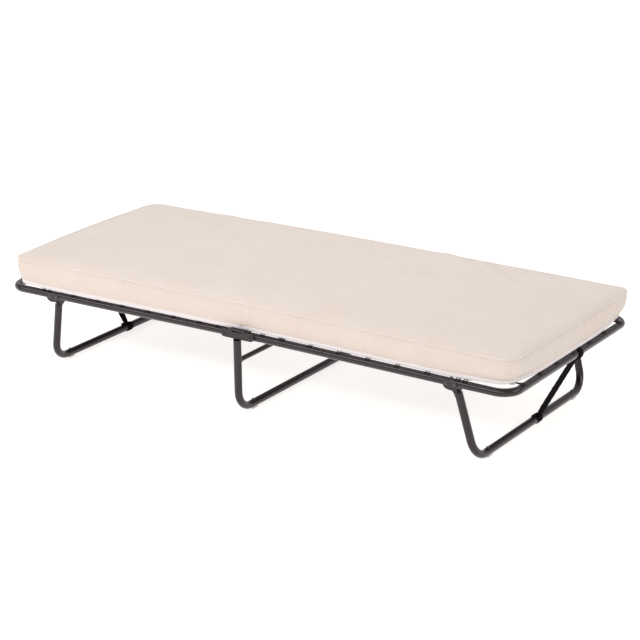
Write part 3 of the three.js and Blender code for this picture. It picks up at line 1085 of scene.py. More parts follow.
def copies_tree(name: str, sizes: Sequence[tuple[str, float]]) -> tuple:
    """Starts a tree that copies one piece onto points.

    Args:
        name: the tree's name.
        sizes: (input name, default in metres) of each size.

    Returns:
        The tree, its input node and its output node.
    """
    inputs = [("Geometry", GEOMETRY, None)]
    inputs += [(label, FLOAT, default) for label, default in sizes]
    inputs.append(("Material", "NodeSocketMaterial", None))
    return new_group(name, "GeometryNodeTree", inputs, [("Geometry", GEOMETRY)])


def rivet_tree() -> Tree:
    """Tree for domed rivet heads on a thin flange, Z pointing out of the surface.

    Returns:
        The tree: Head Radius, Head Height and Flange Radius in.
    """
    tree, given, result = copies_tree("domed_rivets", [
        ("Head Radius", 6 * MM), ("Head Height", 2.4 * MM), ("Flange Radius", 7.5 * MM)])
    dome = add_node(tree, "GeometryNodeMeshUVSphere", {
        "Segments": 24, "Rings": 12, "Radius": given.outputs["Head Radius"]})
    flatness = maths(tree, "DIVIDE", given.outputs["Head Height"], given.outputs["Head Radius"])
    head = add_node(tree, "GeometryNodeTransform", {
        "Geometry": dome.outputs["Mesh"], "Scale": combined(tree, X=1.0, Y=1.0, Z=flatness)})
    rim = add_node(tree, "GeometryNodeMeshUVSphere", {
        "Segments": 24, "Rings": 8, "Radius": given.outputs["Flange Radius"]})
    flange = add_node(tree, "GeometryNodeTransform", {
        "Geometry": rim.outputs["Mesh"], "Scale": (1.0, 1.0, 0.12)})
    both = add_node(tree, "GeometryNodeJoinGeometry")
    for part in (flange, head):
        tree.links.new(part.outputs["Geometry"], both.inputs["Geometry"])
    return placed_copies(tree, given, both.outputs["Geometry"], result)


def spring_tree() -> Tree:
    """Tree for a deck spring: an eye in the hem, a coil and a double hook over the rail.

    The copy's X runs from the hem to the rail and its Z is up.

    Returns:
        The tree, with the spring's sizes in.
    """
    tree, given, result = copies_tree("deck_springs", [
        ("Wire Radius", 1.5 * MM), ("Coil Radius", 4.2 * MM), ("Coil Start", 12 * MM),
        ("Coil Length", 24 * MM), ("Hook Radius", 14 * MM), ("Rail Reach", 62 * MM),
        ("Rail Drop", 11 * MM), ("Hook Spread", 4.6 * MM)])
    quarter = math.pi / 2
    radius, start = given.outputs["Coil Radius"], given.outputs["Coil Start"]
    coil = add_node(tree, "GeometryNodeCurveSpiral", {
        "Resolution": 12, "Rotations": 9.0, "Start Radius": radius, "End Radius": radius,
        "Height": given.outputs["Coil Length"]})
    coil_place = add_node(tree, "GeometryNodeTransform", {
        "Geometry": coil.outputs["Curve"], "Rotation": (0.0, quarter, 0.0),
        "Translation": combined(tree, X=start)})
    eye_radius = maths(tree, "MULTIPLY", start, 0.5)
    eye = add_node(tree, "GeometryNodeCurvePrimitiveCircle", {
        "Resolution": 16, "Radius": eye_radius}, mode="RADIUS")
    eye_place = add_node(tree, "GeometryNodeTransform", {
        "Geometry": eye.outputs["Curve"], "Rotation": (quarter, 0.0, 0.0),
        "Translation": combined(tree, X=eye_radius)})
    curves = [coil_place.outputs["Geometry"], eye_place.outputs["Geometry"]]
    coil_end = maths(tree, "ADD", start, given.outputs["Coil Length"])
    lead_in, sweep_angle = math.radians(112), math.radians(-66)
    drop = maths(tree, "MULTIPLY", given.outputs["Rail Drop"], -1.0)
    top_x = maths(tree, "MULTIPLY_ADD", given.outputs["Hook Radius"], math.cos(lead_in),
                  given.outputs["Rail Reach"])
    top_z = maths(tree, "MULTIPLY_ADD", given.outputs["Hook Radius"], math.sin(lead_in), drop)
    for sign in (-1.0, 1.0):
        aside = maths(tree, "MULTIPLY", given.outputs["Hook Spread"], sign)
        hook = add_node(tree, "GeometryNodeCurveArc", {
            "Resolution": 10, "Radius": given.outputs["Hook Radius"], "Start Angle": lead_in,
            "Sweep Angle": sweep_angle}, mode="RADIUS")
        hook_place = add_node(tree, "GeometryNodeTransform", {
            "Geometry": hook.outputs["Curve"], "Rotation": (quarter, 0.0, 0.0),
            "Translation": combined(tree, X=given.outputs["Rail Reach"], Y=aside, Z=drop)})
        lead = add_node(tree, "GeometryNodeCurvePrimitiveLine", {
            "Start": combined(tree, X=coil_end, Z=maths(tree, "MULTIPLY", radius, 0.5)),
            "End": combined(tree, X=top_x, Y=aside, Z=top_z)})
        curves += [hook_place.outputs["Geometry"], lead.outputs["Curve"]]
    joined = add_node(tree, "GeometryNodeJoinGeometry")
    for curve in curves:
        tree.links.new(curve, joined.inputs["Geometry"])
    section = add_node(tree, "GeometryNodeCurvePrimitiveCircle", {
        "Resolution": 6, "Radius": given.outputs["Wire Radius"]}, mode="RADIUS")
    wire = add_node(tree, "GeometryNodeCurveToMesh", {
        "Curve": joined.outputs["Geometry"], "Profile Curve": section.outputs["Curve"],
        "Fill Caps": True})
    return placed_copies(tree, given, wire.outputs["Mesh"], result)


def ring_tree() -> Tree:
    """Tree for pressed rings, such as eyelets and washers, Z through the hole.

    Returns:
        The tree: Ring Radius, Wall Radius and Flatness in.
    """
    tree, given, result = copies_tree("pressed_rings", [
        ("Ring Radius", 5 * MM), ("Wall Radius", 1.3 * MM), ("Flatness", 0.6)])
    line = add_node(tree, "GeometryNodeCurvePrimitiveCircle", {
        "Resolution": 28, "Radius": given.outputs["Ring Radius"]}, mode="RADIUS")
    section = add_node(tree, "GeometryNodeCurvePrimitiveCircle", {
        "Resolution": 8, "Radius": given.outputs["Wall Radius"]}, mode="RADIUS")
    ring = add_node(tree, "GeometryNodeCurveToMesh", {
        "Curve": line.outputs["Curve"], "Profile Curve": section.outputs["Curve"]})
    flat = add_node(tree, "GeometryNodeTransform", {
        "Geometry": ring.outputs["Mesh"],
        "Scale": combined(tree, X=1.0, Y=1.0, Z=given.outputs["Flatness"])})
    return placed_copies(tree, given, flat.outputs["Geometry"], result)


def stitch_tree() -> Tree:
    """Tree for single stitches of thread that lie on a seam, X along the seam.

    Returns:
        The tree: Stitch Length and Thread Radius in.
    """
    tree, given, result = copies_tree("seam_stitches", [
        ("Stitch Length", 3.2 * MM), ("Thread Radius", 0.45 * MM)])
    grain = add_node(tree, "GeometryNodeMeshUVSphere", {
        "Segments": 6, "Rings": 4, "Radius": given.outputs["Thread Radius"]})
    stretch = maths(tree, "DIVIDE", given.outputs["Stitch Length"], maths(
        tree, "MULTIPLY", given.outputs["Thread Radius"], 2.0))
    long = add_node(tree, "GeometryNodeTransform", {
        "Geometry": grain.outputs["Mesh"], "Scale": combined(tree, X=stretch, Y=1.0, Z=0.8)})
    return placed_copies(tree, given, long.outputs["Geometry"], result)


@dataclass(frozen=True)
class RepeatedPieces:
    """The trees of the pieces that repeat, each built once."""

    rivets: Tree = field(default_factory=rivet_tree)
    springs: Tree = field(default_factory=spring_tree)
    rings: Tree = field(default_factory=ring_tree)
    stitches: Tree = field(default_factory=stitch_tree)


# ---- glides under the floor bars ----


@dataclass(frozen=True)
class Glide:
    """Nylon glide under a floor bar, held by a stem through the bar."""

    half_length: float = 9.5 * MM
    width: float = 21 * MM
    button_radius: float = 5 * MM
    button_height: float = 3 * MM
    fit: float = 0.2 * MM

    def build(self, name: str, body: str, matrix: Matrix, node: str) -> None:
        """Builds the glide and its button.

        Args:
            name: name of the piece.
            body: the body that it moves with.
            matrix: placing matrix; the origin is on the floor under the bar's axis.
            node: CAD node that it replaces.
        """
        pad, button = self.shells(matrix)
        glide = make_piece(name, [pad], GLIDE_NYLON)
        round_edges(glide, 0.6 * MM)
        settle(glide, body, GLIDE_NYLON, node)
        settle(make_piece(f"{name}_button", [button], RIVET_PLATING), body, GLIDE_NYLON)

    def shells(self, matrix: Matrix) -> list[Shell]:
        """The glide's pad and its button.

        Args:
            matrix: placing matrix; the origin is on the floor under the bar's axis.

        Returns:
            Closed shells.
        """
        seat = SIZES.tube_radius + self.fit
        outline = [(self.half_length, 0.8 * MM), (self.half_length - 0.8 * MM, 0.0),
                   (-self.half_length + 0.8 * MM, 0.0), (-self.half_length, 0.8 * MM)]
        reach = math.degrees(math.acos(self.half_length / seat))
        outline += arc_points(0, SIZES.bar_z, seat, reach - 180, -reach, 20)
        top = SIZES.bar_z + SIZES.tube_radius
        button = [(0.0, top - 2 * MM), (self.button_radius, top - 2 * MM),
                  (self.button_radius, top + 0.6 * MM),
                  (0.86 * self.button_radius, top + 0.7 * self.button_height),
                  (0.5 * self.button_radius, top + 0.95 * self.button_height),
                  (0.0, top + self.button_height)]
        return [slab(outline, self.width, matrix), turned(button, matrix, 20)]


# ---- centre leg ----


@dataclass(frozen=True)
class CentreLeg:
    """U-shaped centre leg with its crossbar and the two pressed hinge plates."""

    plate_half_height: float = 13.5 * MM
    plate_lift: float = 1.8 * MM
    lobe_radius: float = 12.4 * MM
    crossbar_z: float = 179 * MM
    crossbar_radius: float = 8 * MM
    lip_width: float = 16 * MM
    lip_thick: float = 2.6 * MM
    lip_places: tuple[float, float] = (-30 * MM, 30 * MM)
    bridge_width: float = 30 * MM
    bridge_level: float = 8.2 * MM
    bridge_thick: float = 2 * MM
    rim_level: float = 16.6 * MM
    weld_radius: float = 2.2 * MM
    body: str = "centre_leg"

    def build(self, repeated: RepeatedPieces) -> None:
        """Builds the leg, its plates, rivets, washers and glides.

        Args:
            repeated: trees of the repeated pieces.
        """
        self.build_tubes()
        for side in Side:
            self.build_plate(side)
            self.build_glide(side)
        self.build_fasteners(repeated)

    def build_tubes(self) -> None:
        """Builds the bent leg tube, the crossbar and their weld beads."""
        top = SIZES.hinge.z - self.plate_half_height - 0.3 * MM
        reach = SIZES.centre_leg_y
        corners = [(0, -reach, top), (0, -reach, SIZES.bar_z), (0, reach, SIZES.bar_z),
                   (0, reach, top)]
        leg = make_piece("centre_leg_bent_tube", [hollow_tube(
            bent_path(corners, SIZES.leg_bend), SIZES.tube_radius, SIZES.tube_wall,
            (1, 0, 0))], FRAME_PAINT)
        settle(leg, self.body, FRAME_PAINT, "centre_leg_tube")
        end = reach - SIZES.tube_radius - 0.3 * MM
        axis = bent_path([(0, -end, self.crossbar_z), (0, end, self.crossbar_z)], 1.0)
        bar = make_piece("centre_leg_round_crossbar", [hollow_tube(
            axis, self.crossbar_radius, SIZES.tube_wall, (1, 0, 0), 24)], FRAME_PAINT)
        settle(bar, self.body, FRAME_PAINT, "centre_leg_crossbar")
        welds = [self.weld_bead(side) for side in Side]
        settle(make_piece("centre_leg_welds", welds, FRAME_PAINT), self.body, FRAME_PAINT)

    def weld_bead(self, side: Side) -> Shell:
        """A rippled fillet where the crossbar meets an upright.

        Args:
            side: which end of the crossbar.

        Returns:
            A closed ring.
        """
        ring, steps = [], 72
        for i in range(steps):
            turn = 2 * math.pi * i / steps
            across_leg = (self.crossbar_radius + 0.4 * MM) * math.cos(turn)
            sink = SIZES.tube_radius - math.sqrt(SIZES.tube_radius ** 2 - across_leg ** 2)
            ripple = 0.25 * MM * math.sin(12 * turn)
            out = SIZES.centre_leg_y - SIZES.tube_radius + sink - 0.4 * MM + ripple
            ring.append((across_leg, side.value * out,
                         self.crossbar_z + (self.crossbar_radius + 0.4 * MM) * math.sin(turn)))
        section = arc_points(0, 0, self.weld_radius, 0, 360, 8)[:-1]
        return sweep(np.array(ring), section, (0, side.value, 0), closed=True)

    def plate_outline(self) -> Outline:
        """Outline of a hinge plate, centred between the two hinge rivets."""
        lift, radius = self.plate_lift, self.lobe_radius
        notch, reach, top = 16 * MM, SIZES.hinge.x, self.plate_lift + self.lobe_radius
        low, seat = lift - radius, -self.plate_half_height - 1.5 * MM
        return [*arc_points(reach, lift, radius, -90, 90, 20), (notch + 3 * MM, top),
                (notch, top - 4 * MM), (-notch, top - 4 * MM), (-notch - 3 * MM, top),
                *arc_points(-reach, lift, radius, 90, 270, 20), (-16 * MM, low),
                (-12 * MM, low - 3 * MM), (-12 * MM, seat), (12 * MM, seat),
                (12 * MM, low - 3 * MM), (16 * MM, low)]

    def build_plate(self, side: Side) -> None:
        """Builds one pressed hinge plate with its two lips and its weld.

        Args:
            side: which side of the cot.
        """
        near, hinge_z = side.value * SIZES.centre_leg_y, SIZES.hinge.z
        place = Matrix.Translation((0, near, hinge_z))
        shells = [slab(self.plate_outline(), SIZES.plate_thick, place)]
        lip_reach = SIZES.centre_leg_y - SIZES.rail_y + 8 * MM
        bend = 2.4 * MM
        level = SIZES.tube_radius + 1.9 * MM
        inwards = -side.value
        for x in self.lip_places:
            path = bent_path([(x, near, hinge_z + 2 * MM), (x, near, hinge_z + level),
                              (x, near + inwards * lip_reach, hinge_z + level)], bend, 6)
            half = self.lip_width / 2
            thick = self.lip_thick / 2
            section = [(half, thick), (-half, thick), (-half, -thick), (half, -thick)]
            shells.append(sweep(path, section, (1, 0, 0)))
        half = self.bridge_width / 2
        flat = [(half, -self.bridge_thick / 2), (half, self.bridge_thick / 2),
                (-half, self.bridge_thick / 2), (-half, -self.bridge_thick / 2)]
        level = hinge_z + self.bridge_level
        path = np.array([(0, near, level), (0, near + inwards * lip_reach, level)])
        shells.append(sweep(path, flat, (1, 0, 0)))
        # Three dark strips of the plate's paint bridge the lips just under the mattress. They are
        # painted shade that stands in for the shadow in the gap there.
        rim = [(x, near, hinge_z + self.rim_level) for x in self.lip_places]
        edge = [(2.6 * MM, 1.2 * MM), (-2.6 * MM, 1.2 * MM), (-2.6 * MM, -1.2 * MM),
                (2.6 * MM, -1.2 * MM)]
        for depth in (0.0, 0.25, 0.5):
            inner = np.array(rim) + (0, inwards * depth * lip_reach, 0)
            shells.append(sweep(inner, edge, (0, 0, 1)))
        r, weld_z = SIZES.tube_radius - 0.6 * MM, hinge_z - self.plate_half_height - 0.4 * MM
        ring = [(r * math.cos(a), near + r * math.sin(a), weld_z)
                for a in np.linspace(0, 2 * math.pi, 48, endpoint=False)]
        bead = arc_points(0, 0, 1.3 * MM, 0, 360, 8)[:-1]
        shells.append(sweep(np.array(ring), bead, (0, 0, 1), closed=True))
        plate = make_piece(f"hinge_plate_pressed_{side.label}", shells, FRAME_PAINT)
        round_edges(plate, 0.7 * MM)
        settle(plate, self.body, FRAME_PAINT, f"hinge_plate_{side.label}")

    def build_glide(self, side: Side) -> None:
        """Builds one glide of the floor bar.

        Args:
            side: which side of the cot.
        """
        low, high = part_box(f"centre_glide_{side.label}")
        place = Matrix.Translation((0, (low.y + high.y) / 2, 0))
        Glide().build(f"centre_glide_moulded_{side.label}", self.body, place,
                      f"centre_glide_{side.label}")

    def build_fasteners(self, repeated: RepeatedPieces) -> None:
        """Builds the hinge rivets' heads, their shanks and the washers behind the plates.

        Args:
            repeated: trees of the repeated pieces.
        """
        outer = SIZES.centre_leg_y + SIZES.plate_thick / 2 + 0.2 * MM
        inner = SIZES.rail_y - SIZES.tube_radius
        points, aims, shanks, washers = [], [], [], []
        rivets, rings = [], []
        for end in End:
            for side in Side:
                x = end.value * SIZES.hinge.x
                for reach, sign in ((outer, 1), (inner, -1)):
                    points.append(Vector((x, side.value * reach, SIZES.hinge.z)))
                    aims.append(Vector((0, side.value * sign, 0)))
                place = Matrix.Translation((x, 0, SIZES.hinge.z)) @ across(side.value)
                shanks.append(pin(4 * MM, inner, outer, place))
                low = SIZES.rail_y + SIZES.tube_radius - 1.2 * MM
                high = SIZES.centre_leg_y - SIZES.plate_thick / 2
                washers.append(turned([(0, low), (10.6 * MM, low), (11.5 * MM, low + 0.7 * MM),
                                       (11.5 * MM, high), (0, high)], place))
                rivets.append(f"hinge_rivet_{end.label}_{side.label}")
                rings.append(f"hinge_washer_{end.label}_{side.label}")
        heads = Scatter(points, aims).grow("hinge_rivet_heads", repeated.rivets, {
            "Head Radius": 6.2 * MM, "Head Height": 2.9 * MM, "Flange Radius": 8 * MM,
            "Material": FRAME_PAINT.material()})
        settle(heads, self.body, FRAME_PAINT)
        shank = make_piece("hinge_rivet_shanks", shanks, RIVET_PLATING)
        settle(shank, self.body, RIVET_PLATING, *rivets)
        washer = make_piece("hinge_spacing_washers", washers, RIVET_PLATING)
        settle(washer, self.body, RIVET_PLATING, *rings)


# ---- half frame ----


@dataclass(frozen=True)
class HalfFrame:
    """One hinged half: a bent rail, the end leg's rivets, a sprung deck and its springs."""

    end: End
    deck_half_width: float = 322 * MM
    deck_inner: float = 28 * MM
    deck_outer: float = 818 * MM
    deck_level: float = 11 * MM
    deck_sag: float = 5 * MM
    cloth_thick: float = 1.3 * MM
    hem: float = 12 * MM
    rod_radius: float = 2.5 * MM
    tongue_y: float = 359 * MM
    cheek_thick: float = 1.6 * MM
    side_pitch: float = 101.8 * MM
    first_spring: float = 107 * MM
    side_springs: int = 7
    corner_pitch: float = 24 * MM
    end_pitch: float = 105 * MM
    end_springs: int = 7

    @property
    def space(self) -> Matrix:
        """Matrix from the half frame's own space to the cot's."""
        return SIZES.half_space(self.end)

    def build(self, repeated: RepeatedPieces) -> None:
        """Builds everything that rides on this half except the mattress and the strap.

        Args:
            repeated: trees of the repeated pieces.
        """
        self.build_rail()
        self.build_plugs()
        self.build_leg_fasteners(repeated)
        self.build_deck()
        self.build_springs(repeated)

    def name(self, what: str) -> str:
        """Name of a piece of this half."""
        return f"{self.end.label}_{what}"

    def build_rail(self) -> None:
        """Builds the U-shaped rail of one bent tube."""
        inner, reach = SIZES.rail_gap - SIZES.hinge.x, SIZES.end_bar_x
        corners = [(inner, -SIZES.rail_y, 0), (reach, -SIZES.rail_y, 0),
                   (reach, SIZES.rail_y, 0), (inner, SIZES.rail_y, 0)]
        tube = hollow_tube(bent_path(corners, SIZES.frame_bend, 20), SIZES.tube_radius,
                           SIZES.tube_wall, (0, 0, 1), 36)
        rail = make_piece(self.name("bent_rail"), [tube.moved(self.space)], FRAME_PAINT)
        settle(rail, self.end.frame_body, FRAME_PAINT, self.name("rail"))

    def build_plugs(self) -> None:
        """Builds the moulded plugs in the rail's open ends."""
        bore = SIZES.tube_radius - SIZES.tube_wall - 0.4 * MM
        face = SIZES.rail_gap - SIZES.hinge.x
        profile = [(0, 12 * MM), (bore - MM, 12 * MM), (bore, 10 * MM), (bore, -0.2 * MM),
                   (SIZES.tube_radius, -0.2 * MM), (SIZES.tube_radius - 0.5 * MM, -1.6 * MM),
                   (SIZES.tube_radius - 2 * MM, -2.4 * MM), (0, -2.7 * MM)]
        for side in Side:
            handed = side.value * self.end.value
            place = (self.space @ Matrix.Translation((face, handed * SIZES.rail_y, 0))
                     @ Matrix.Rotation(math.pi / 2, 4, "Y"))
            plug = make_piece(self.name(f"moulded_plug_{side.label}"), [turned(profile, place)],
                              BLACK_NYLON)
            settle(plug, self.end.frame_body, BLACK_NYLON, self.name(f"rail_plug_{side.label}"))

    def cheek_outline(self) -> Outline:
        """Outline of the bracket cheek outside the rail, round both rivets of the leg."""
        reach = SIZES.stop_reach
        return [*arc_points(0, 0, 11 * MM, 95, 215, 10), (-3 * MM, -13.5 * MM),
                (9 * MM, -17 * MM), (reach - 4 * MM, -17.5 * MM),
                *arc_points(reach, -3 * MM, 12 * MM, -75, 70, 10), (reach - 6 * MM, 9.5 * MM)]

    def build_leg_fasteners(self, repeated: RepeatedPieces) -> None:
        """Builds the leg pivots, the stop rivets and the spacers.

        Args:
            repeated: trees of the repeated pieces.
        """
        outer = SIZES.rail_y + SIZES.tube_radius + self.cheek_thick
        inner = self.tongue_y - SIZES.tongue_thick / 2 - 0.3 * MM
        turn = self.space.to_3x3()
        points, aims, shanks, spacers, nodes, rings, cheeks = [], [], [], [], [], [], []
        for side in Side:
            handed = side.value * self.end.value
            for what, x in (("leg_pivot", 0.0), ("leg_stop", SIZES.stop_reach)):
                at = Vector((SIZES.leg_pivot_x + x, 0, -SIZES.pivot_drop))
                for reach, sign in ((outer - 0.6 * MM, 1), (inner, -1)):
                    points.append(self.space @ (at + Vector((0, handed * reach, 0))))
                    aims.append(turn @ Vector((0, handed * sign, 0)))
                place = self.space @ Matrix.Translation(at) @ across(handed)
                shanks.append(pin(4 * MM, inner, outer, place))
                nodes.append(self.name(f"{what}_{side.label}"))
            low = self.tongue_y + SIZES.tongue_thick / 2 + 0.3 * MM
            high = SIZES.rail_y - SIZES.tube_radius + 0.6 * MM
            place = (self.space @ Matrix.Translation((SIZES.leg_pivot_x, 0, -SIZES.pivot_drop))
                     @ across(handed))
            cheek_place = self.space @ Matrix.Translation((
                SIZES.leg_pivot_x, handed * (outer - self.cheek_thick / 2), -SIZES.pivot_drop))
            cheeks.append(slab(self.cheek_outline(), self.cheek_thick, cheek_place))
            spacers.append(turned([(0, low), (8.4 * MM, low), (9 * MM, low + 0.6 * MM),
                                   (9 * MM, high), (0, high)], place))
            rings.append(self.name(f"leg_spacer_{side.label}"))
        heads = Scatter(points, aims).grow(self.name("leg_rivet_heads"), repeated.rivets, {
            "Head Radius": 5.4 * MM, "Head Height": 3.2 * MM, "Flange Radius": 7.6 * MM,
            "Material": RIVET_PLATING.material()})
        settle(heads, self.end.frame_body, RIVET_PLATING)
        cheek = make_piece(self.name("leg_bracket_cheeks"), cheeks, FRAME_PAINT)
        round_edges(cheek, 0.6 * MM)
        settle(cheek, self.end.frame_body, FRAME_PAINT)
        shank = make_piece(self.name("leg_rivet_shanks"), shanks, RIVET_PLATING)
        settle(shank, self.end.frame_body, RIVET_PLATING, *nodes)
        spacer = make_piece(self.name("leg_turned_spacers"), spacers, RIVET_PLATING)
        settle(spacer, self.end.frame_body, RIVET_PLATING, *rings)

    def spring_places(self) -> list[tuple[Vector, Vector]]:
        """Hem point of each spring and the direction from there to the rail.

        Returns:
            Pairs in the half frame's own space.
        """
        half = self.deck_half_width - self.hem / 2
        outer = self.deck_outer - self.hem / 2
        along = [self.deck_inner + self.hem / 2]
        along += [self.first_spring + i * self.side_pitch for i in range(self.side_springs)]
        along.append(along[-1] + self.corner_pitch)
        places = [(Vector((x, side * half, self.deck_level)), Vector((0, side, 0)))
                  for side in (-1, 1) for x in along]
        middle = (self.end_springs - 1) / 2
        places += [(Vector((outer, (i - middle) * self.end_pitch, self.deck_level)),
                    Vector((1, 0, 0))) for i in range(self.end_springs)]
        return places

    def deck_height(self, x: float, y: float) -> float:
        """Level of the deck cloth, which hangs a little between its springs.

        Args:
            x: place along the half frame.
            y: place across it.

        Returns:
            Height above the rail's axis.
        """
        along = (x - self.deck_inner) / (self.deck_outer - self.deck_inner)
        bow = (1 - (y / self.deck_half_width) ** 2) * math.sin(math.pi * min(max(along, 0), 1))
        ripple = 0.35 * MM * noise.noise(Vector((x * 18, y * 18, 3.0)))
        return self.deck_level - self.deck_sag * max(bow, 0.0) + ripple

    def build_deck(self) -> None:
        """Builds the woven deck with its folded hem, raised where the steel rods lie in the hem."""
        steps_x, steps_y = 96, 78
        xs = np.linspace(self.deck_inner, self.deck_outer, steps_x)
        ys = np.linspace(-self.deck_half_width, self.deck_half_width, steps_y)
        pull = 3.5 * MM
        points, count = [], steps_x * steps_y
        for layer in (1, -1):
            for x in xs:
                for y in ys:
                    edge = min(x - self.deck_inner, self.deck_outer - x,
                               self.deck_half_width - abs(y))
                    rise = self.rod_radius * math.exp(-((edge - self.hem / 2) / (4 * MM)) ** 2)
                    scallop = 0.5 - 0.5 * math.cos(2 * math.pi * (x - self.deck_inner)
                                                   / self.side_pitch)
                    slack = pull * scallop * (abs(y) / self.deck_half_width) ** 12
                    level = self.deck_height(x, y) + layer * (self.cloth_thick / 2 + rise)
                    points.append((x, y - math.copysign(slack, y), level))
        faces, corners = double_sheet(points, steps_x, steps_y)
        rim = list(range(steps_y))
        rim += [i * steps_y + steps_y - 1 for i in range(1, steps_x)]
        rim += [(steps_x - 1) * steps_y + j for j in range(steps_y - 2, -1, -1)]
        rim += [i * steps_y for i in range(steps_x - 2, 0, -1)]
        for here, there in zip(rim, rim[1:] + rim[:1]):
            faces.append((here, there, there + count, here + count))
            corners += [points[k][:2] for k in (here, there, there, here)]
        cloth = Shell(np.array(points), faces, np.array(corners))
        deck = make_piece(self.name("deck_sheet"), [cloth.moved(self.space)], DECK_CLOTH)
        settle(deck, self.end.frame_body, DECK_CLOTH, self.name("deck"))
        self.name("springs")

    def build_springs(self, repeated: RepeatedPieces) -> None:
        """Builds the springs that stretch the deck, and its eyelets.

        Args:
            repeated: trees of the repeated pieces.
        """
        turn = self.space.to_3x3()
        up = turn @ Vector((0, 0, 1))
        side_reach = SIZES.rail_y - self.deck_half_width + self.hem / 2
        end_reach = SIZES.end_bar_x - self.deck_outer + self.hem / 2
        for what, axis, reach in (("springs", 1, side_reach), ("end_springs", 0, end_reach)):
            places = [(at, way) for at, way in self.spring_places() if abs(way[axis]) > 0.5]
            scatter = Scatter([self.space @ at for at, _ in places], [up] * len(places),
                              [turn @ way for _, way in places])
            springs = scatter.grow(self.name(what), repeated.springs, {
                "Rail Reach": reach, "Rail Drop": self.deck_level,
                "Coil Length": reach - 39 * MM, "Hook Radius": SIZES.tube_radius + 2.6 * MM,
                "Material": SPRING_WIRE.material()})
            settle(springs, self.end.frame_body, SPRING_WIRE)
        places = self.spring_places()
        eyelets = Scatter([self.space @ at for at, _ in places], [up] * len(places)).grow(
            self.name("deck_eyelets"), repeated.rings, {
                "Ring Radius": 4.6 * MM, "Wall Radius": 2.2 * MM, "Flatness": 1.45,
                "Material": RIVET_PLATING.material()})
        settle(eyelets, self.end.frame_body, RIVET_PLATING)


# ---- end leg ----


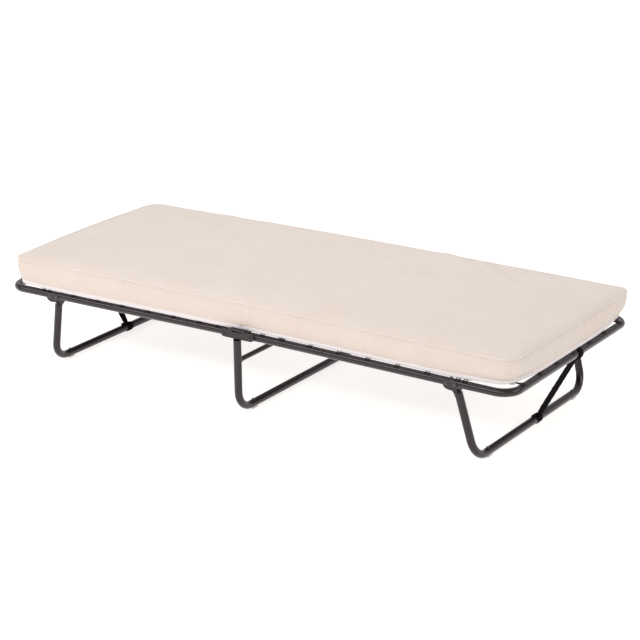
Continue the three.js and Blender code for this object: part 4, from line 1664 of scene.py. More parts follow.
@dataclass(frozen=True)
class EndLeg:
    """Folding U-shaped end leg with the tongues that it swings on."""

    end: End
    lean: float
    tube_offset: float = 13.6 * MM
    top_y: float = 357 * MM
    foot_y: float = 345 * MM
    tube_top: float = 38 * MM
    tongue_y: float = 359 * MM
    hub: float = 10.5 * MM
    tab_half: float = 8 * MM

    @property
    def space(self) -> Matrix:
        """Matrix from the leg's own space to the cot's."""
        return SIZES.leg_space(self.end, self.lean)

    @property
    def length(self) -> float:
        """Distance from the pivot's level to the floor bar's axis, along the uprights."""
        pivot_z = joint(f"{self.end.label}_leg_fold")["pos_m"][2]
        return (pivot_z - SIZES.bar_z + self.tube_offset * math.sin(self.lean)) / math.cos(
            self.lean)

    @property
    def floor_bar(self) -> Vector:
        """Point on the floor bar's axis, in the middle of the cot."""
        return self.space @ Vector((self.tube_offset, 0, -self.length))

    def name(self, what: str) -> str:
        """Name of a piece of this leg."""
        return f"{self.end.label}_{what}"

    def build(self, repeated: RepeatedPieces) -> None:
        """Builds the leg's tube, tongues, crimps and glides.

        Args:
            repeated: trees of the repeated pieces.
        """
        corners = [(self.tube_offset, -self.top_y, -self.tube_top),
                   (self.tube_offset, -self.foot_y, -self.length),
                   (self.tube_offset, self.foot_y, -self.length),
                   (self.tube_offset, self.top_y, -self.tube_top)]
        tube = hollow_tube(bent_path(corners, SIZES.leg_bend, 18), SIZES.tube_radius,
                           SIZES.tube_wall, (1, 0, 0))
        leg = make_piece(self.name("leg_bent_tube"), [tube.moved(self.space)], FRAME_PAINT)
        settle(leg, self.end.leg_body, FRAME_PAINT, self.name("leg_tube"))
        for side in Side:
            self.build_tongue(side)
            self.build_glide(side)
        self.build_crimps(repeated)

    def tongue_outline(self) -> Outline:
        """Outline of a tongue: hub, shoulder under the stop rivet and tab in the tube."""
        tilt = self.lean + SIZES.crown
        stop_x = SIZES.stop_reach * math.cos(tilt)
        stop_z = -SIZES.stop_reach * math.sin(tilt)
        room = 4.3 * MM
        lowest = -90 - math.degrees(tilt)
        left, right = self.tube_offset - self.tab_half, self.tube_offset + self.tab_half
        neck = -self.tube_top - 4 * MM
        return [*arc_points(0, 0, self.hub, 60, 188, 14), (-12.5 * MM, -11 * MM),
                (-12 * MM, -17 * MM), (-9 * MM, -24 * MM), (-5 * MM, -31 * MM),
                (left - 7 * MM, neck + 3 * MM), (left - 5.4 * MM, neck - 7 * MM),
                (left, neck - 10 * MM),
                (left, -self.tube_top - 24 * MM), (right, -self.tube_top - 24 * MM),
                (right, neck - 3 * MM), (right + 3 * MM, neck), (right + 4 * MM, neck + 9 * MM),
                (stop_x + 9 * MM, stop_z - 14 * MM),
                (stop_x + 9 * MM, stop_z + 2 * MM),
                *arc_points(stop_x, stop_z, room, lowest + 90, lowest - 75, 12),
                (stop_x - 9 * MM, stop_z + 6 * MM)]

    def build_tongue(self, side: Side) -> None:
        """Builds one pressed tongue, with the flattened neck of the tube round its tab.

        Args:
            side: which side of the cot.
        """
        handed = side.value * self.end.value
        place = self.space @ Matrix.Translation((0, handed * self.tongue_y, 0))
        shells = [slab(self.tongue_outline(), SIZES.tongue_thick, place)]
        neck_top = -self.tube_top + 9 * MM
        path = np.array([(self.tube_offset, handed * self.top_y, z) for z in np.linspace(
            -self.tube_top - 6 * MM, neck_top, 8)])
        section = arc_points(0, 0, SIZES.tube_radius - 0.2 * MM, 0, 360, 28)[:-1]
        neck = sweep(path, section, (1, 0, 0), scale=lambda share: (
            1 - 0.22 * share ** 2, 1 - 0.62 * share ** 1.5))
        shells.append(neck.moved(self.space))
        tongue = make_piece(self.name(f"leg_pressed_tongue_{side.label}"), shells, FRAME_PAINT)
        round_edges(tongue, 0.7 * MM)
        settle(tongue, self.end.leg_body, FRAME_PAINT, self.name(f"leg_tongue_{side.label}"))

    def build_glide(self, side: Side) -> None:
        """Builds one glide of the floor bar.

        Args:
            side: which side of the cot.
        """
        low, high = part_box(self.name(f"glide_{side.label}"))
        place = Matrix.Translation((self.floor_bar.x, (low.y + high.y) / 2, 0))
        Glide().build(self.name(f"glide_moulded_{side.label}"), self.end.leg_body, place,
                      self.name(f"glide_{side.label}"))

    def build_crimps(self, repeated: RepeatedPieces) -> None:
        """Builds the small pins that fix the tongues in the tube.

        Args:
            repeated: trees of the repeated pieces.
        """
        points, aims = [], []
        turn = self.space.to_3x3()
        for side in (-1, 1):
            for x in (-5 * MM, 5 * MM):
                reach = math.sqrt(SIZES.tube_radius ** 2 - x ** 2)
                points.append(self.space @ Vector((
                    self.tube_offset + x, side * (self.top_y + reach - 0.4 * MM),
                    -self.tube_top - 9 * MM)))
                aims.append(turn @ Vector((x, side * reach, 0)).normalized())
        pins = Scatter(points, aims).grow(self.name("leg_crimp_pins"), repeated.rivets, {
            "Head Radius": 2.8 * MM, "Head Height": 1.2 * MM, "Flange Radius": 3.2 * MM,
            "Material": BLACK_NYLON.material()})
        settle(pins, self.end.leg_body, FRAME_PAINT)


# ---- strap between an end bar and its leg ----


# Knots: X, Y, Z and size of each fold. Tails: corners of the loose ends. All in millimetres.
TOP_KNOT = ((0, 0, 0, 8.2), (-3, -5, -2, 6.4), (2, 5, -2, 6.4), (-2, 0, -8, 7.0))
TOP_TAIL = ((0, -6, -5), (-5, -12, -5), (-10, -18, -8))
BOTTOM_KNOT = ((0, 0, 0, 8.4), (3, -5, -4, 8.0), (2, -13, -8, 7.4), (5, -3, -10, 7.6))
BOTTOM_TAIL = ((3, -8, 14), (4, -20, 18), (2, -36, 17))


@dataclass(frozen=True)
class Strap:
    """Elastic webbing tied round an end bar and round the floor bar of its leg."""

    end: End
    leg: EndLeg
    y: float = 35 * MM
    loop_width: float = 24 * MM
    loop_thick: float = 2.2 * MM
    wrap_half_thick: float = 0.85 * MM
    gather_shift: float = 7 * MM
    band_half_width: float = 10 * MM
    band_half_thick: float = 1.9 * MM
    band_turn: float = math.radians(45)

    def oval(self, half_width: float, half_thick: float, sides: int = 16) -> Outline:
        """Rounded section of the folded band.

        Args:
            half_width: half its width.
            half_thick: half its thickness.
            sides: number of points.

        Returns:
            The outline, first axis across the band.
        """
        points = []
        for a in np.linspace(0, 2 * math.pi, sides, endpoint=False):
            c, s = math.cos(a), math.sin(a)
            points.append((half_width * math.copysign(abs(c) ** 0.6, c),
                           half_thick * math.copysign(abs(s) ** 0.75, s)))
        return points

    def build(self) -> None:
        """Builds the strap as one piece between the half frame and the leg."""
        bar = SIZES.half_space(self.end) @ Vector((SIZES.end_bar_x, 0, 0))
        bar.y = self.y
        foot = Vector((self.leg.floor_bar.x, self.y, SIZES.bar_z))
        shells = [*self.top_loop(bar, foot), self.band(bar, foot), *self.bottom_wrap(bar, foot)]
        strap = make_piece(f"{self.end.label}_webbing_strap", shells, STRAP_ELASTIC)
        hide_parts(f"{self.end.label}_strap")
        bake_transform(strap)
        report(strap, self.end.leg_body)

    def ring(self, centre: Vector, radius: float, half_width: float, half_thick: float,
             slant: float = 0.0, start: float = 0.0) -> Shell:
        """A closed turn of webbing round a bar.

        Args:
            centre: point on the bar's axis.
            radius: middle radius of the turn.
            half_width: half the webbing's width.
            half_thick: half its thickness.
            slant: how far the turn leans along the bar.
            start: angle where the slant starts.

        Returns:
            The closed shell.
        """
        turn = np.linspace(0, 2 * math.pi, 40, endpoint=False)
        path = np.stack([centre.x + radius * np.cos(turn),
                         centre.y + slant * np.sin(turn + start),
                         centre.z + radius * np.sin(turn)], axis=1)
        return sweep(path, self.oval(half_thick, half_width, 14), (1, 0, 0), closed=True)

    def top_loop(self, bar: Vector, foot: Vector) -> list[Shell]:
        """The loop round the end bar: two spread folds that gather under the bar.

        Args:
            bar: point on the end bar's axis.
            foot: point on the floor bar's axis.

        Returns:
            Closed shells.
        """
        way = (foot - bar).normalized()
        radius = SIZES.tube_radius + 2.2 * MM + self.loop_thick / 2
        shells = []
        for shift in (-0.24, 0.24):
            centre = bar + Vector((0, shift * self.loop_width, 0)) + 1.8 * MM * way
            shells.append(self.ring(centre, radius, 0.27 * self.loop_width,
                                    1.25 * self.loop_thick,
                                    slant=-shift * 0.4 * self.loop_width,
                                    start=math.pi / 2 - math.atan2(-way.z, -way.x)))
        knot = bar + way * (SIZES.tube_radius + 8 * MM) + Vector((0, self.gather_shift, 0))
        shells += self.knot(knot, TOP_KNOT, 0)
        shells.append(self.loose_end(knot, TOP_TAIL, 6 * MM, (3.4 * MM, 1.3 * MM)))
        return shells

    def knot(self, centre: Vector, folds: Sequence[tuple], seed: int) -> list[Shell]:
        """The folds of a knot."""
        return [self.lump(centre + Vector(shift) * MM, size * MM, 0.8, seed + i)
                for i, (*shift, size) in enumerate(folds)]

    def loose_end(self, centre: Vector, places: Sequence[tuple], bend: float,
                  half_size: tuple[float, float]) -> Shell:
        """A free end of the webbing."""
        corners = [centre + Vector(place) * MM for place in places]
        return sweep(bent_path(corners, bend, 6, 4 * MM), self.oval(*half_size, 12), (0, 0, 1))

    def lump(self, centre: Vector, radius: float, squeeze: float, seed: int) -> Shell:
        """A soft fold of a knot.

        Args:
            centre: its middle.
            radius: its size.
            squeeze: its height as a share of its size.
            seed: changes its shape.

        Returns:
            The closed shell.
        """
        profile = [(radius * math.sin(t), -radius * squeeze * math.cos(t))
                   for t in np.linspace(0, math.pi, 9)]
        shell = turned(profile, Matrix.Translation(centre) @ Matrix.Rotation(
            0.7 + seed, 4, Vector((1, 0.6, 0.2 * seed)).normalized()), 14)
        middle = np.array(centre)
        for i, point in enumerate(shell.points):
            push = noise.noise(Vector(point) * 160 + Vector((seed * 3.1, 0, 0)))
            shell.points[i] = middle + (point - middle) * (1 + 0.22 * push)
        shell.cloth_map = np.array([shell.points[i][:2] for face in shell.faces for i in face])
        return shell

    def band(self, bar: Vector, foot: Vector) -> Shell:
        """The straight, stretched band with its edges folded round.

        Args:
            bar: point on the end bar's axis.
            foot: point on the floor bar's axis.

        Returns:
            The closed shell.
        """
        run = foot - bar
        way = run.normalized()
        start = (bar + way * (SIZES.tube_radius + 6 * MM)
                 + Vector((0, self.gather_shift, 0)))
        stop = foot - way * (SIZES.tube_radius + 2 * MM)
        path = np.array([start.lerp(stop, t) for t in np.linspace(0, 1, 60)])
        length = (stop - start).length

        def folded(share: float) -> tuple[float, float]:
            """Section's scales: the band is gathered close to its two ties."""
            nearest = min(share, 1 - share) * length
            pinch = 1 - 0.35 * math.exp(-nearest / (12 * MM))
            return pinch * (1 + 0.03 * math.sin(60 * share)), 1 + 0.5 * (1 - pinch)

        section = [(a, b * (1 - 0.45 * math.cos(math.pi * a / self.band_half_width / 1.2)))
                   for a, b in self.oval(self.band_half_width, self.band_half_thick, 20)]
        along_bar = Vector((0, 1, 0))
        turned_up = (along_bar * math.cos(self.band_turn)
                     + way.cross(along_bar) * math.sin(self.band_turn))
        return sweep(path, section, turned_up, scale=folded)

    def bottom_wrap(self, bar: Vector, foot: Vector) -> list[Shell]:
        """Turns round the floor bar, the knot on them and a loose end under the bar.

        Args:
            bar: point on the end bar's axis.
            foot: point on the floor bar's axis.

        Returns:
            Closed shells.
        """
        radius = SIZES.tube_radius + 0.3 * MM + self.wrap_half_thick
        shells = []
        for shift, slant in ((-9, 4), (0, -4), (9, 3)):
            centre = foot + Vector((0, shift, 0)) * MM
            shells.append(self.ring(centre, radius, 5.4 * MM, self.wrap_half_thick, slant * MM))
        way = (bar - foot).normalized()
        top = foot + way * (SIZES.tube_radius + 3 * MM)
        shells += self.knot(top, BOTTOM_KNOT, 5)
        shells.append(self.loose_end(foot, BOTTOM_TAIL, 8 * MM, (5 * MM, 1.9 * MM)))
        return shells


# ---- mattress ----


# Pulls in the cover's top: X and Y of the start in metres, turn in degrees, length and half
# width in metres, and height in millimetres.
TOP_PULLS = (
    (0.29, 0.37, -36, 0.50, 0.026, 6.0), (0.38, 0.37, -35, 0.48, 0.024, 6.5),
    (0.62, 0.36, -37, 0.36, 0.022, 3.5), (-0.55, 0.34, -50, 0.30, 0.030, 3.0))


@dataclass
class Mattress:
    """Foam mattress in a boxed cover with bound edges, made whole and then cut at the fold."""

    spacing: float = 9 * MM
    corner: float = 42 * MM
    side_rows: int = 10
    seam_inset: float = 3 * MM
    bottom_seam: float = 23 * MM
    top_seam: float = 101.5 * MM
    pressure: float = 9.0
    frames: int = 20
    most_motion: float = 12 * MM
    cord_radius: float = 2.0 * MM
    tape_half_height: float = 7 * MM
    tape_half_thick: float = 2.2 * MM
    tuck_in: float = 13 * MM
    tuck_along: float = 8 * MM
    tuck_up: float = 8 * MM
    tuck_reach: float = 120 * MM
    head_tuck: float = 0.4
    head_skew: float = 15 * MM
    head_bow: float = 6 * MM
    head_belly: float = 7 * MM
    head_rise: float = 4 * MM
    roll: float = 5 * MM
    keep_folded: float = 0.36

    def __post_init__(self) -> None:
        """Reads the mattress's outline from the frame."""
        head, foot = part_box("mattress_head_end"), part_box("mattress_foot_end")
        self.low = Vector((head[0].x + self.seam_inset, head[0].y + self.seam_inset, 0))
        self.high = Vector((foot[1].x - self.seam_inset, foot[1].y - self.seam_inset, 0))

    # grid lines from one edge to the other, closer in the rounded corners

    def lines(self, low: float, high: float, through: float | None = None) -> np.ndarray:
        """Grid lines across the mattress.

        Args:
            low: one edge.
            high: the other edge.
            through: a place that has to be on a line.

        Returns:
            The lines' places.
        """
        corner_steps = max(3, round(self.corner / self.spacing))
        stops = [low + self.corner, high - self.corner]
        if through is not None:
            stops.insert(1, through)
        places = list(np.linspace(low, stops[0], corner_steps, endpoint=False))
        for here, there in zip(stops, stops[1:]):
            steps = round((there - here) / self.spacing)
            places += list(np.linspace(here, there, steps, endpoint=False))
        return np.array(places + list(np.linspace(stops[-1], high, corner_steps + 1)))

    def rounded(self, x: float, y: float) -> tuple[float, float]:
        """Moves a point of the square grid so that the grid's corners become round.

        Args:
            x: place along the cot.
            y: place across it.

        Returns:
            The moved point.
        """
        near_x = self.low.x + self.corner if x < 0 else self.high.x - self.corner
        near_y = self.low.y + self.corner if y < 0 else self.high.y - self.corner
        a, b = (x - near_x) / self.corner, (y - near_y) / self.corner
        if a * math.copysign(1, x) <= 0 or b * math.copysign(1, y) <= 0:
            return x, y
        return (near_x + self.corner * a * math.sqrt(1 - b * b / 2),
                near_y + self.corner * b * math.sqrt(1 - a * a / 2))

    def level(self, x: float, height: float) -> float:
        """Height of a point that lies a given height above the rails' axes."""
        beyond = math.sqrt(x * x + SIZES.hinge.x ** 2) - SIZES.hinge.x
        return SIZES.hinge.z - beyond * math.sin(SIZES.crown) + height

    def cover(self) -> tuple[Piece, list[list[int]]]:
        """Makes the cover before it is filled: two panels and the boxing between them.

        Returns:
            The object, and the vertex loops of the top and the bottom seam.
        """
        xs = self.lines(self.low.x, self.high.x, 0.0)
        ys = self.lines(self.low.y, self.high.y)
        nx, ny = len(xs), len(ys)
        points = []
        for height in (self.top_seam, self.bottom_seam):
            for x in xs:
                for y in ys:
                    px, py = self.rounded(x, y)
                    points.append((px, py, self.level(px, height)))
        panel = nx * ny
        faces, corners = double_sheet(points, nx, ny)
        rim = [i * ny for i in range(nx)]
        rim += [(nx - 1) * ny + j for j in range(1, ny)]
        rim += [i * ny + ny - 1 for i in range(nx - 2, -1, -1)]
        rim += list(range(ny - 2, 0, -1))
        rows = [[k + panel for k in rim]]
        for row in range(1, self.side_rows):
            share = row / self.side_rows
            height = self.bottom_seam + share * (self.top_seam - self.bottom_seam)
            rows.append(list(range(len(points), len(points) + len(rim))))
            points += [(*points[k][:2], self.level(points[k][0], height)) for k in rim]
        rows.append(rim)
        self.add_boxing(points, faces, corners, rows)
        mesh = bpy.data.meshes.new("mattress_cover")
        mesh.from_pydata(points, [], faces)
        mesh.uv_layers.new(name="cloth").data.foreach_set(
            "uv", np.array(corners, np.float32).ravel())
        return placed("mattress_cover", mesh), [rim, [k + panel for k in rim]]

    @staticmethod
    def add_boxing(points: list, faces: list, corners: list, rows: list[list[int]]) -> None:
        """Adds the faces of the side strip between the seams.

        Args:
            points: the cover's points.
            faces: its faces, added to.
            corners: its cloth map, added to.
            rows: vertex loops from the bottom seam to the top seam.
        """
        rim = rows[-1]
        steps = [math.dist(points[a][:2], points[b][:2]) for a, b in zip(rim, rim[1:] + rim[:1])]
        reach = np.concatenate([[0.0], np.cumsum(steps)])
        count = len(rim)
        for low, high in zip(rows, rows[1:]):
            for k in range(count):
                on = (k + 1) % count
                faces.append((low[k], low[on], high[on], high[k]))
                corners += [(reach[k], points[low[k]][2]), (reach[k + 1], points[low[on]][2]),
                            (reach[k + 1], points[high[on]][2]), (reach[k], points[high[k]][2])]

    def fill(self, cover: Piece, seams: list[list[int]]) -> None:
        """Presses the cover out between its seams by a cloth simulation.

        Args:
            cover: the cover.
            seams: vertex loops that hold still.
        """
        held = cover.vertex_groups.new(name="seams")
        held.add([k for seam in seams for k in seam], 1.0, "REPLACE")
        cloth = cover.modifiers.new("fill", "CLOTH")
        made = cloth.settings
        made.quality = 5
        made.mass = 0.25
        made.tension_stiffness = 9
        made.compression_stiffness = 9
        made.shear_stiffness = 4
        made.bending_stiffness = 0.4
        made.use_pressure = True
        made.uniform_pressure_force = self.pressure
        made.shrink_min = -0.004
        made.vertex_group_mass = held.name
        made.effector_weights.gravity = 0
        cloth.collision_settings.use_collision = False
        cloth.collision_settings.use_self_collision = False
        before = point_array(cover.data)
        scene = bpy.context.scene
        for step in range(1, self.frames + 1):
            scene.frame_set(step)
        graph = bpy.context.evaluated_depsgraph_get()
        after = point_array(cover.evaluated_get(graph).data)
        cover.modifiers.remove(cloth)
        scene.frame_set(1)
        moved = after - before
        far = np.linalg.norm(moved, axis=1, keepdims=True)
        LOG.info("cover filled: mean motion %.1f mm, most %.1f mm", far.mean() / MM,
                 far.max() / MM)
        capped = self.most_motion * np.tanh(far / self.most_motion)
        set_points(cover.data, before + moved * capped / np.maximum(far, 1e-9))

    def crease(self, cover: Piece) -> None:
        """Adds the cover's slack: slow waves on top, upright creases and corner gathers.

        Args:
            cover: the filled cover.
        """
        cover.data.update()
        normals = np.zeros(len(cover.data.vertices) * 3, np.float32)
        cover.data.vertices.foreach_get("normal", normals)
        normals = normals.reshape(-1, 3)
        points = point_array(cover.data)
        for i, (x, y, z) in enumerate(points):
            points[i] += normals[i] * self.slack(x, y, z, normals[i]) + self.tuck(x, y, z)
            points[i] += self.head_shift(x, y, z)
        set_points(cover.data, points)

    def head_shift(self, x: float, y: float, z: float) -> np.ndarray:
        """How the head end lies: a little askew, bowed out and fuller than the rest.

        Args:
            x: place along the cot.
            y: place across it.
            z: height above the floor.

        Returns:
            The shift.
        """
        near = clamped(1 - (x - self.low.x) / 0.28) ** 2
        over = clamped((y - self.low.y) / (self.high.y - self.low.y))
        height = clamped((z - self.level(x, self.bottom_seam))
                         / (self.top_seam - self.bottom_seam))
        bow = 4 * over * (1 - over)
        belly = self.head_belly * 4 * height * (1 - height)
        out = (self.head_skew * over + self.head_bow * bow) * (0.3 + 0.7 * height) + belly
        return np.array([-near * out, 0.0, near * self.head_rise * bow * height])

    def tuck(self, x: float, y: float, z: float) -> np.ndarray:
        """How far the lower edge draws in and up towards a corner of the mattress.

        Args:
            x: place along the cot.
            y: place across it.
            z: height above the floor.

        Returns:
            The shift.
        """
        share = (z - self.level(x, self.bottom_seam)) / (self.top_seam - self.bottom_seam)
        low = clamped(1 - share)
        to_x = max(0.0, min(x - self.low.x, self.high.x - x))
        to_y = max(0.0, min(y - self.low.y, self.high.y - y))
        near = low ** 3.5 * math.exp(-(to_x ** 2 + to_y ** 2) / self.tuck_reach ** 2)
        even = low ** 2.5 * self.tuck_along
        shift_x = even * math.exp(-to_x / self.corner) + near * self.tuck_in
        shift_y = even * math.exp(-to_y / self.corner) + 0.6 * near * self.tuck_in
        share = self.head_tuck if x < 0 else 1.0
        return share * np.array([-math.copysign(shift_x, x), -math.copysign(shift_y, y),
                                 near * self.tuck_up])

    def slack(self, x: float, y: float, z: float, normal: np.ndarray) -> float:
        """How far the cover stands off its even shape at a point.

        Args:
            x: place along the cot.
            y: place across it.
            z: height above the floor.
            normal: direction of the surface there.

        Returns:
            Offset along the normal.
        """
        height = z - self.level(x, 0.0)
        middle = (height - self.bottom_seam) / (self.top_seam - self.bottom_seam)
        if abs(normal[2]) < 0.6:
            belly = max(0.0, 1 - (2 * middle - 1) ** 2)
            around = x if abs(normal[1]) > abs(normal[0]) else y
            leaning = around + 0.35 * height
            upright = noise.noise(Vector((leaning * 22, height * 3, 0.4)))
            fine = noise.noise(Vector((leaning * 75, height * 8, 5.2)))
            corner = self.corner_share(x, y)
            gathers = corner * math.sin(around * 260 + 1.3) * 1.6
            return belly * MM * (3.0 * upright + (1.1 + 1.8 * corner) * fine + gathers)
        inner = min(x - self.low.x, self.high.x - x, y - self.low.y, self.high.y - y)
        fade = clamped(inner / (16 * MM))
        slow = noise.noise(Vector((x * 3.1, y * 4.2, 1.7)))
        fine = noise.noise(Vector((x * 13, y * 16, 7.7)))
        rolled = 0.0
        if normal[2] > 0:
            rolled = self.roll * (1 - math.exp(-max(0.0, inner) / (14 * MM)))
        return rolled + fade * MM * (3.0 * slow + 1.3 * fine + self.pulls(x, y))

    def pulls(self, x: float, y: float) -> float:
        """Diagonal pulls of the cloth near the foot end's far side, in millimetres.

        Args:
            x: place along the cot.
            y: place across it.

        Returns:
            Height of the pulls.
        """
        total = 0.0
        for start_x, start_y, turn, length, wide, rise in TOP_PULLS:
            a = math.radians(turn)
            along = (x - start_x) * math.cos(a) + (y - start_y) * math.sin(a)
            aside = -(x - start_x) * math.sin(a) + (y - start_y) * math.cos(a)
            if -0.1 < along < length:
                share = (along + 0.1) / (length + 0.1)
                ridge = math.exp(-(aside / wide) ** 2) - 0.6 * math.exp(
                    -((aside - 1.8 * wide) / wide) ** 2)
                total += rise * math.sin(math.pi * share ** 0.7) ** 1.3 * ridge
        return total

    def corner_share(self, x: float, y: float) -> float:
        """How close a point is to one of the upright corners, from 0 to 1.

        Args:
            x: place along the cot.
            y: place across it.

        Returns:
            1 in the corner, 0 away from it.
        """
        to_x = min(x - self.low.x, self.high.x - x)
        to_y = min(y - self.low.y, self.high.y - y)
        return math.exp(-max(0.0, to_x + to_y - 0.5 * self.corner) / (45 * MM))

    def build(self, repeated: RepeatedPieces) -> None:
        """Builds the mattress, its binding and its stitches, each cut at the fold.

        Args:
            repeated: trees of the repeated pieces.
        """
        cover, seams = self.cover()
        self.fill(cover, seams)
        self.crease(cover)
        lines = [point_array(cover.data)[seam] for seam in seams]
        smooth = cover.modifiers.new("finer", "SUBSURF")
        smooth.levels = smooth.render_levels = 1
        graph = bpy.context.evaluated_depsgraph_get()
        fine = bpy.data.meshes.new_from_object(cover.evaluated_get(graph), depsgraph=graph)
        bpy.data.objects.remove(cover)
        for end in End:
            self.build_half(end, fine)
            self.build_binding(end, lines)
            self.build_stitches(end, lines, repeated)
        bpy.data.meshes.remove(fine)

    def build_half(self, end: End, whole: MeshData) -> None:
        """Cuts one half out of the whole mattress and closes the cut.

        Args:
            end: which half.
            whole: mesh of the whole mattress.
        """
        work = bmesh.new()
        work.from_mesh(whole)
        across_cut = [v for v in work.verts if abs(v.co.x) < 1.5 * MM]
        for vertex in across_cut:
            vertex.co.x = 0.0
        gone = [f for f in work.faces if f.calc_center_median().x * end.value < 0]
        bmesh.ops.delete(work, geom=gone, context="FACES")
        rim = [edge for edge in work.edges if edge.is_boundary]
        bmesh.ops.holes_fill(work, edges=rim, sides=0)
        caps = [f for f in work.faces if len(f.verts) > 4]
        bmesh.ops.triangulate(work, faces=caps)
        for edge in rim:
            edge.smooth = False
        mesh = bpy.data.meshes.new(f"mattress_{end.label}_half")
        bmesh.ops.recalc_face_normals(work, faces=work.faces)
        work.to_mesh(mesh)
        work.free()
        mesh.polygons.foreach_set("use_smooth", np.ones(len(mesh.polygons), bool))
        mesh.materials.clear()
        mesh.materials.append(COVER_CLOTH.material())
        half = placed(f"mattress_{end.label}_half", mesh)
        settle(half, end.frame_body, COVER_CLOTH, f"mattress_{end.label}_middle",
               f"mattress_{end.label}_end")
        self.fold(half)

    def fold(self, piece: Piece) -> None:
        """Gives a piece of the mattress a mesh of its own.

        Args:
            piece: the piece.
        """
        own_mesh(piece)

    def half_line(self, end: End, line: np.ndarray) -> np.ndarray:
        """The stretch of a seam that lies on one half, as an open path.

        Args:
            end: which half.
            line: points of the whole seam, a closed loop.

        Returns:
            The path's points in order.
        """
        inside = line[:, 0] * end.value >= -1e-6
        start = next(i for i in range(len(line)) if inside[i] and not inside[i - 1])
        turned_line = np.roll(line, -start, axis=0)
        return turned_line[:int(inside.sum())]

    def build_binding(self, end: End, lines: list[np.ndarray]) -> None:
        """Builds the binding along the two seams of one half.

        Args:
            end: which half.
            lines: points of the top and the bottom seam.
        """
        cord_section = arc_points(0, 0, self.cord_radius, 0, 360, 10)[:-1]
        tape_section = [(self.tape_half_height * math.copysign(abs(a) ** 0.8, a),
                         self.tape_half_thick * b)
                        for a, b in arc_points(0, 0, 1, 0, 360, 16)[:-1]]
        for what, line, section, lift, finish in (
                ("top", lines[0], cord_section, 0.8 * MM, CORD_CLOTH),
                ("bottom", lines[1], tape_section, -1 * MM, EDGE_BINDING)):
            path = self.half_line(end, line).copy()
            waves = [noise.noise(Vector((x * 9, y * 9, 1000 * lift))) for x, y, _ in path]
            path[:, 2] += lift + 1.2 * MM * np.array(waves)
            cord = sweep(path, section, (0, 0, 1))
            binding = make_piece(f"mattress_{end.label}_{what}_binding", [cord], finish)
            settle(binding, end.frame_body, finish)
            self.fold(binding)

    def build_stitches(self, end: End, lines: list[np.ndarray], repeated: RepeatedPieces) -> None:
        """Builds the row of stitches on the boxing below the top binding.

        Args:
            end: which half.
            lines: points of the top and the bottom seam.
            repeated: trees of the repeated pieces.
        """
        pitch = 5 * MM
        points, aims, sides = [], [], []
        for line, drop in ((lines[0], -4.5 * MM), (lines[1], 8 * MM)):
            path = self.half_line(end, line)
            reach = length_so_far(path)
            for at in np.arange(pitch, reach[-1] - pitch, pitch):
                k = int(np.searchsorted(reach, at)) - 1
                way = Vector(path[k + 1] - path[k]).normalized()
                out = way.cross(Vector((0, 0, 1)))
                spot = Vector(path[k]) + way * (at - reach[k]) + out * 2.2 * MM
                points.append(spot + Vector((0, 0, drop)))
                aims.append(out)
                sides.append(way)
        stitches = Scatter(points, aims, sides).grow(
            f"mattress_{end.label}_stitches", repeated.stitches,
            {"Material": SEAM_THREAD.material()})
        settle(stitches, end.frame_body, SEAM_THREAD)
        self.fold(stitches)


def point_array(mesh: MeshData) -> np.ndarray:
    """A mesh's points.

    Args:
        mesh: the mesh.

    Returns:
        One row for each vertex.
    """
    flat = np.zeros(len(mesh.vertices) * 3, np.float32)
    mesh.vertices.foreach_get("co", flat)
    return flat.reshape(-1, 3).astype(float)


def set_points(mesh: MeshData, points: np.ndarray) -> None:
    """Moves a mesh's points."""
    mesh.vertices.foreach_set("co", points.astype(np.float32).ravel())
    mesh.update()


# ---- studio ----


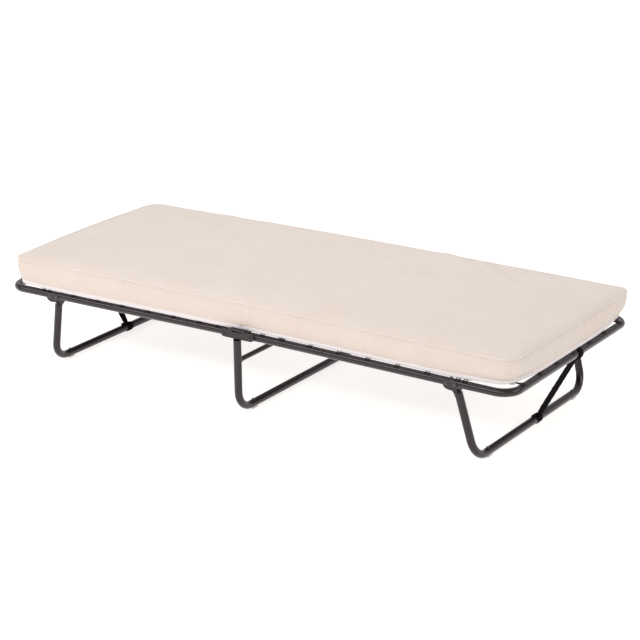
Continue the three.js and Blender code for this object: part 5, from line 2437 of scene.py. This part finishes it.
@dataclass(frozen=True)
class Studio:
    """Pale floor, soft lights and the camera."""

    lens: float = 110.51
    camera_place: tuple[float, float, float] = (3.3648, -4.9566, 2.2727)
    yaw: float = -0.591
    pitch: float = 0.334
    roll: float = -0.011
    floor_size: float = 60.0
    world_light: float = 0.64

    def build(self) -> None:
        """Sets up the camera, the floor, the lights and the world."""
        self.build_camera()
        self.build_floor()
        self.build_world()
        self.add_light("overhead_softbox", (-0.2, 0.6, 3.4), (0.1, 0.0, 0.2), (3.4, 2.4), 46)
        self.add_light("front_strip", (-1.5, -3.1, 2.3), (-1.5, -0.35, 0.25), (5.6, 0.42), 78)
        self.add_light("front_softbox", (2.6, -4.4, 2.6), (0.6, 0.0, 0.2), (2.0, 1.4), 26)
        self.add_light("side_strip", (4.2, 0.5, 2.3), (0.9, 0.0, 0.25), (2.6, 0.35), 30)

    def build_camera(self) -> None:
        """Makes the camera."""
        cp, sp = math.cos(self.pitch), math.sin(self.pitch)
        forward = Vector((cp * math.sin(self.yaw), cp * math.cos(self.yaw), -sp))
        right = Vector((math.cos(self.yaw), -math.sin(self.yaw), 0.0))
        up = right.cross(forward)
        across_view = right * math.cos(self.roll) + up * math.sin(self.roll)
        up_view = up * math.cos(self.roll) - right * math.sin(self.roll)
        turn = Matrix((across_view, up_view, -forward)).transposed().to_4x4()
        data = bpy.data.cameras.new("camera")
        data.lens = self.lens
        data.sensor_width = 36.0
        data.clip_end = 100.0
        camera = placed("camera", data)
        camera.matrix_world = Matrix.Translation(self.camera_place) @ turn
        bpy.context.scene.camera = camera

    def build_floor(self) -> None:
        """Makes the floor."""
        half = self.floor_size / 2
        mesh = bpy.data.meshes.new("floor")
        mesh.from_pydata([(-half, -half, 0), (half, -half, 0), (half, half, 0),
                          (-half, half, 0)], [], [(0, 1, 2, 3)])
        mesh.materials.append(STUDIO_PAPER.material())
        placed("floor", mesh)

    def build_world(self) -> None:
        """Gives the world an even, very slightly cool light."""
        world = bpy.data.worlds.new("studio_world")
        world.use_nodes = True
        background = world.node_tree.nodes["Background"]
        background.inputs["Color"].default_value = (0.985, 0.985, 1.0, 1.0)
        background.inputs["Strength"].default_value = self.world_light
        bpy.context.scene.world = world
        bpy.context.scene.view_settings.view_transform = "Standard"

    def add_light(self, name: str, place: Iterable[float], target: Iterable[float],
                  size: tuple[float, float], watts: float) -> None:
        """Adds a rectangular soft light.

        Args:
            name: the light's name.
            place: where it stands.
            target: the point that it faces.
            size: its width and height.
            watts: its power.
        """
        data = bpy.data.lights.new(name, "AREA")
        data.shape = "RECTANGLE"
        data.size, data.size_y = size
        data.energy = watts
        data.color = (1.0, 0.985, 0.965)
        way = Vector(target) - Vector(place)
        placed(name, data).matrix_world = Matrix.Translation(place) @ way.to_track_quat(
            "-Z", "Y").to_matrix().to_4x4()


LEANS = {End.HEAD: math.radians(10.5), End.FOOT: math.radians(14.6)}


def main() -> None:
    """Builds the cot in order, from the studio to the mattress."""
    logging.basicConfig(level=logging.INFO, format="%(message)s")
    Studio().build()
    repeated = RepeatedPieces()
    CentreLeg().build(repeated)
    for end in End:
        HalfFrame(end).build(repeated)
        leg = EndLeg(end, LEANS[end])
        leg.build(repeated)
        Strap(end, leg).build()
    Mattress().build(repeated)


if __name__ == "__main__":
    main()
